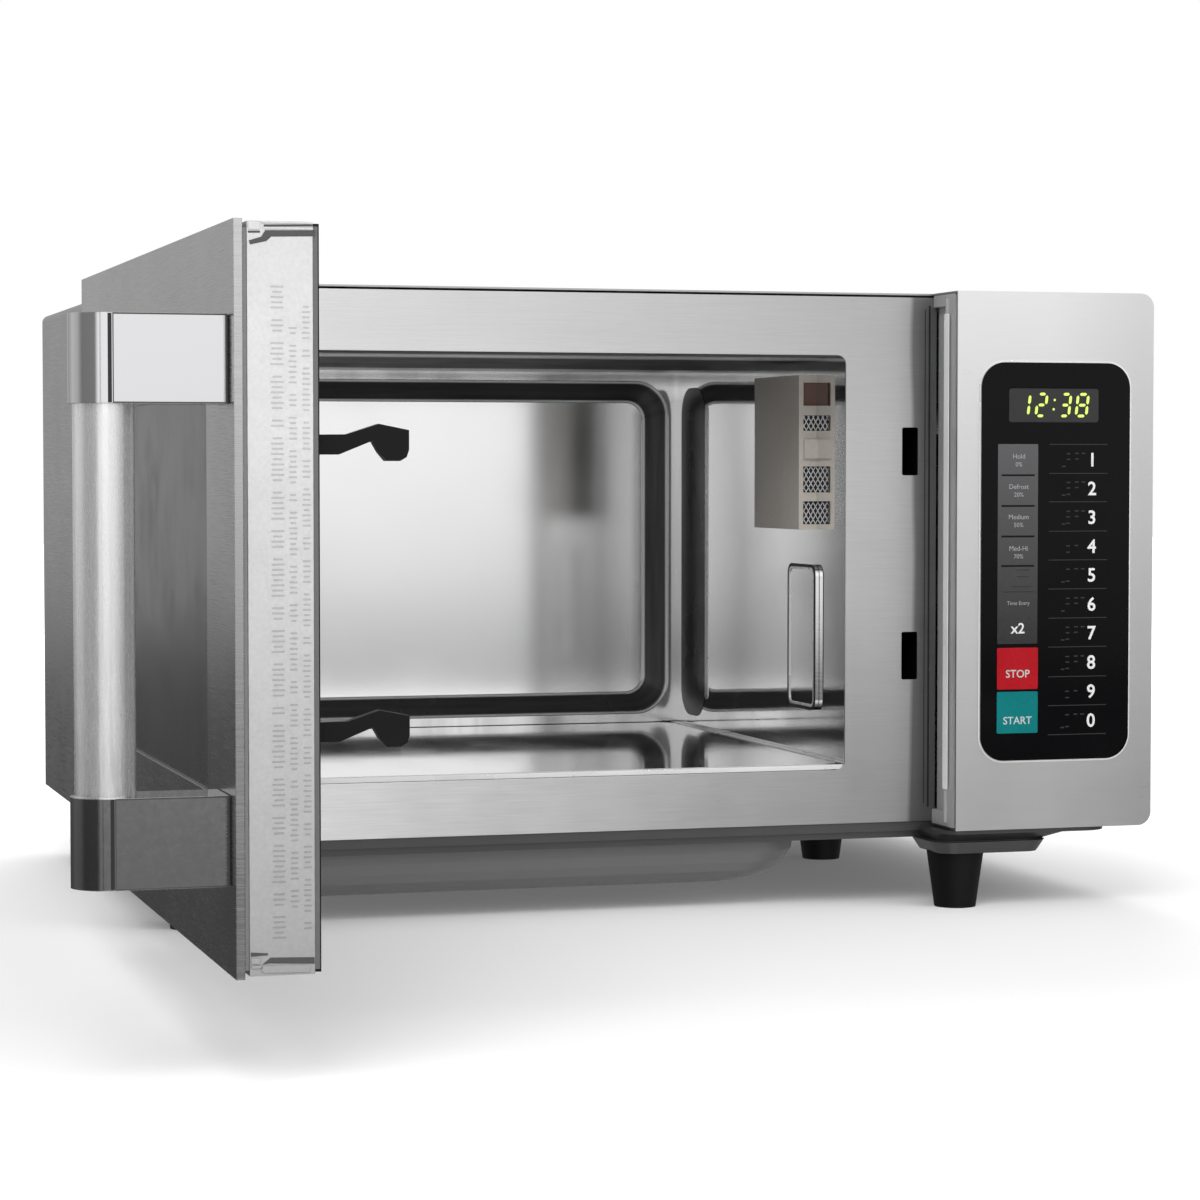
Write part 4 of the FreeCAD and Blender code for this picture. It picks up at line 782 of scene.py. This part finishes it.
# ---------------------------------------------------------------- lamp cover: lattice, backing, joints
mesh_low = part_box("vent_mesh")[0] / MM
cover_low, cover_high = (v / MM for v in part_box("lamp_vent_cover"))
wall_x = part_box("cavity_right_wall")[0].x / MM
VENT_WINDOWS = ((193.8, 205.0), (210.3, 223.2), (242.3, 249.7))
LAMP_WINDOW = (254.8, 267.2)
FRAME_BARS = ((190.7, 193.5), (205.4, 210.0), (223.5, 227.7), (237.6, 242.0), (250.0, 255.0),
              (267.0, 270.9))
CLIP = (227.7, 237.6)
LATTICE_PITCH, LATTICE_HALF = 4.4, 0.44
backing = mesh_low.y - 0.12, mesh_low.y - 0.04
bars = []
for low, high in VENT_WINDOWS:
    bars += lattice(mesh_low.x + 0.1, low, wall_x - 0.02, high, LATTICE_PITCH, LATTICE_HALF)
new_piece("vent_lattice", slabs(bars, mesh_low.y - 0.3, mesh_low.y - 0.15), lattice_grey, "oven")
new_piece("vent_backing", slabs([rect(mesh_low.x + 0.05, low - 0.4, wall_x - 0.01, high + 0.4)
                                 for low, high in VENT_WINDOWS], *backing), seam_dark, "oven")
new_piece("lamp_window", slabs([rect(mesh_low.x + 0.05, LAMP_WINDOW[0], wall_x - 0.01, LAMP_WINDOW[1])],
                               *backing), lamp_amber, "oven")
new_piece("cover_joint_front", slabs([rect(cover_high.x - 0.1, low, wall_x - 0.01, high)
                                      for low, high in FRAME_BARS], cover_low.y, cover_low.y + 1.8),
          beige, "oven")
new_piece("cover_joint_clip", slabs([rect(cover_high.x - 0.1, CLIP[0], wall_x - 0.01, CLIP[1])],
                                    cover_low.y - 2, cover_low.y), beige, "oven")

# ---------------------------------------------------------------- beads on the cavity's wall and floor, paler than the steel as painted highlights, and a dark patch on the wall that is a painted reflection
floor_low, floor_high = (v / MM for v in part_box("cavity_floor_plate"))
back_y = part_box("cavity_right_wall")[1].y / MM
# a dark patch at the rear of the right wall: a painted reflection of the back wall's flange
wall_painted_reflection = rounded_outline(back_y - 54, 79, back_y - 10.5, 269, 16, 8)
wall_bead = rounded_outline(back_y - 60, 90, back_y - 54.5, 258, 2.6, 6)
side_bead = rect(floor_high.x - 0.5, floor_low.y, wall_x - 0.3, floor_high.y)
front_strip = rect(floor_low.x, plate_high.y + 0.15, floor_high.x + 3.5, floor_low.y - 0.1)
for name, outline, near, far, place, look in (
        ("wall_rear_painted_reflection", wall_painted_reflection, wall_x - 0.2, wall_x, to_side, dark_painted_reflection),
        ("wall_rear_bead", wall_bead, wall_x - 0.3, wall_x, to_side, pale_painted_highlight),
        ("floor_side_bead", side_bead, floor_high.z, floor_high.z + 0.4, to_top, pale_painted_highlight),
        ("floor_front_strip", front_strip, floor_low.z + 0.4, floor_high.z - 0.2, to_top, pale_painted_highlight)):
    new_piece(name, slabs([outline], near, far, place), look, "oven")

# ---------------------------------------------------------------- floor and light
floor_mesh = bpy.data.meshes.new("floor")
FLOOR_HALF = 8                       # metres
floor_mesh.from_pydata([(x * FLOOR_HALF, y * FLOOR_HALF, 0) for x, y in ((-1, -1), (1, -1), (1, 1), (-1, 1))],
                       [], [(0, 1, 2, 3)])
floor = bpy.data.objects.new("floor", floor_mesh)
bpy.context.scene.collection.objects.link(floor)


def pale_floor():
    """A pale sweep that turns plain white away from the oven."""
    n = Nodes("pale_floor")
    s = n.shader
    n.link(n.mix(n.noise(3, 2), (0.90, 0.90, 0.90), (0.93, 0.93, 0.93)), s.inputs["Base Color"])
    s.inputs["Roughness"].default_value = 0.8
    s.inputs["Specular IOR Level"].default_value = 0.0
    away = n.add("ShaderNodeVectorMath")
    away.operation = "LENGTH"
    n.link(n.place, away.inputs[0])
    s.inputs["Emission Color"].default_value = (1, 1, 1, 1)
    n.link(n.spread(away.outputs["Value"], 0.10, 0.75, 0.35, 1.3), s.inputs["Emission Strength"])
    return n.material


floor_mesh.materials.append(pale_floor())
floor.visible_glossy = False


def ramp(tree, value, stops):
    """Grey levels along a value: (position, level)."""
    node = tree.nodes.new("ShaderNodeValToRGB")
    elements = node.color_ramp.elements
    while len(elements) < len(stops):
        elements.new(0.5)
    for element, (at, level) in zip(elements, stops):
        element.position = at
        element.color = (level, level, level, 1)
    tree.links.new(value, node.inputs[0])
    return node.outputs[0]


def studio():
    """White where seen directly; what lights and reflects is bright in front, dim low, right and behind."""
    world = bpy.data.worlds.new("studio")
    world.use_nodes = True
    tree = world.node_tree
    tree.nodes.clear()
    parts = tree.nodes.new("ShaderNodeSeparateXYZ")
    tree.links.new(tree.nodes.new("ShaderNodeTexCoord").outputs["Generated"], parts.inputs[0])
    back = math_node(tree, "MULTIPLY", parts.outputs["Y"], -1)
    turn = math_node(tree, "ARCTAN2", parts.outputs["X"], back)
    across = ramp(tree, math_node(tree, "MULTIPLY_ADD", turn, 0.5 / math.pi, 0.5), AROUND)
    upward = ramp(tree, math_node(tree, "MULTIPLY_ADD", parts.outputs["Z"], 0.5, 0.5), UPWARD)
    light = math_node(tree, "MULTIPLY", across, upward)
    background = tree.nodes.new("ShaderNodeBackground")
    tree.links.new(light, background.inputs["Color"])
    background.inputs["Strength"].default_value = ROOM_STRENGTH
    white = tree.nodes.new("ShaderNodeBackground")
    white.inputs["Color"].default_value = (1, 1, 1, 1)
    mixer = tree.nodes.new("ShaderNodeMixShader")
    tree.links.new(tree.nodes.new("ShaderNodeLightPath").outputs["Is Camera Ray"], mixer.inputs[0])
    tree.links.new(background.outputs[0], mixer.inputs[1])
    tree.links.new(white.outputs[0], mixer.inputs[2])
    out = tree.nodes.new("ShaderNodeOutputWorld")
    tree.links.new(mixer.outputs[0], out.inputs["Surface"])
    bpy.context.scene.world = world


ROOM_STRENGTH = 1.35
# light by the way round, in degrees from the front, right positive
AROUND = [(0.5 + degrees / 360, level) for degrees, level in (
    (-180, 0.36), (-150, 0.33), (-125, 0.55), (-98, 0.45), (-80, 0.20), (-34, 0.22), (-23, 0.97),
    (-17.3, 0.97), (-16.8, 0.02), (-15.8, 0.02), (-15.3, 0.97), (0, 1.0), (14, 0.95), (20, 0.74),
    (26, 0.86), (38, 0.70), (60, 0.36), (105, 0.44), (125, 0.46), (180, 0.36))]
# light by the height of its direction, from -1 straight down to 1 straight up
UPWARD = [(0.5 + height / 2, level) for height, level in (
    (-1, 0.70), (-0.32, 0.66), (-0.17, 0.15), (-0.12, 0.15), (-0.062, 0.20), (-0.045, 0.75), (-0.02, 0.92),
    (0.05, 1.0), (1, 1.0))]
studio()


def softbox(name, at, towards, size, power):
    """A soft rectangular lamp that metal doesn't mirror; size in metres, power in watts."""
    light = bpy.data.lights.new(name, "AREA")
    light.shape = "RECTANGLE"
    light.size, light.size_y = size
    light.energy = power
    item = bpy.data.objects.new(name, light)
    bpy.context.scene.collection.objects.link(item)
    item.location = at
    item.rotation_euler = (Vector(towards) - Vector(at)).to_track_quat("-Z", "Y").to_euler()
    item.visible_glossy = False


softbox("key", (-1.2, -2.0, 2.2), (0, 0, 0.15), (1.6, 1.6), 38)
softbox("fill", (1.8, -1.6, 1.2), (0, 0, 0.15), (1.2, 1.6), 14)
softbox("back", (0.3, 2.4, 2.2), (0, 0, 0.1), (2.4, 1.6), 45)
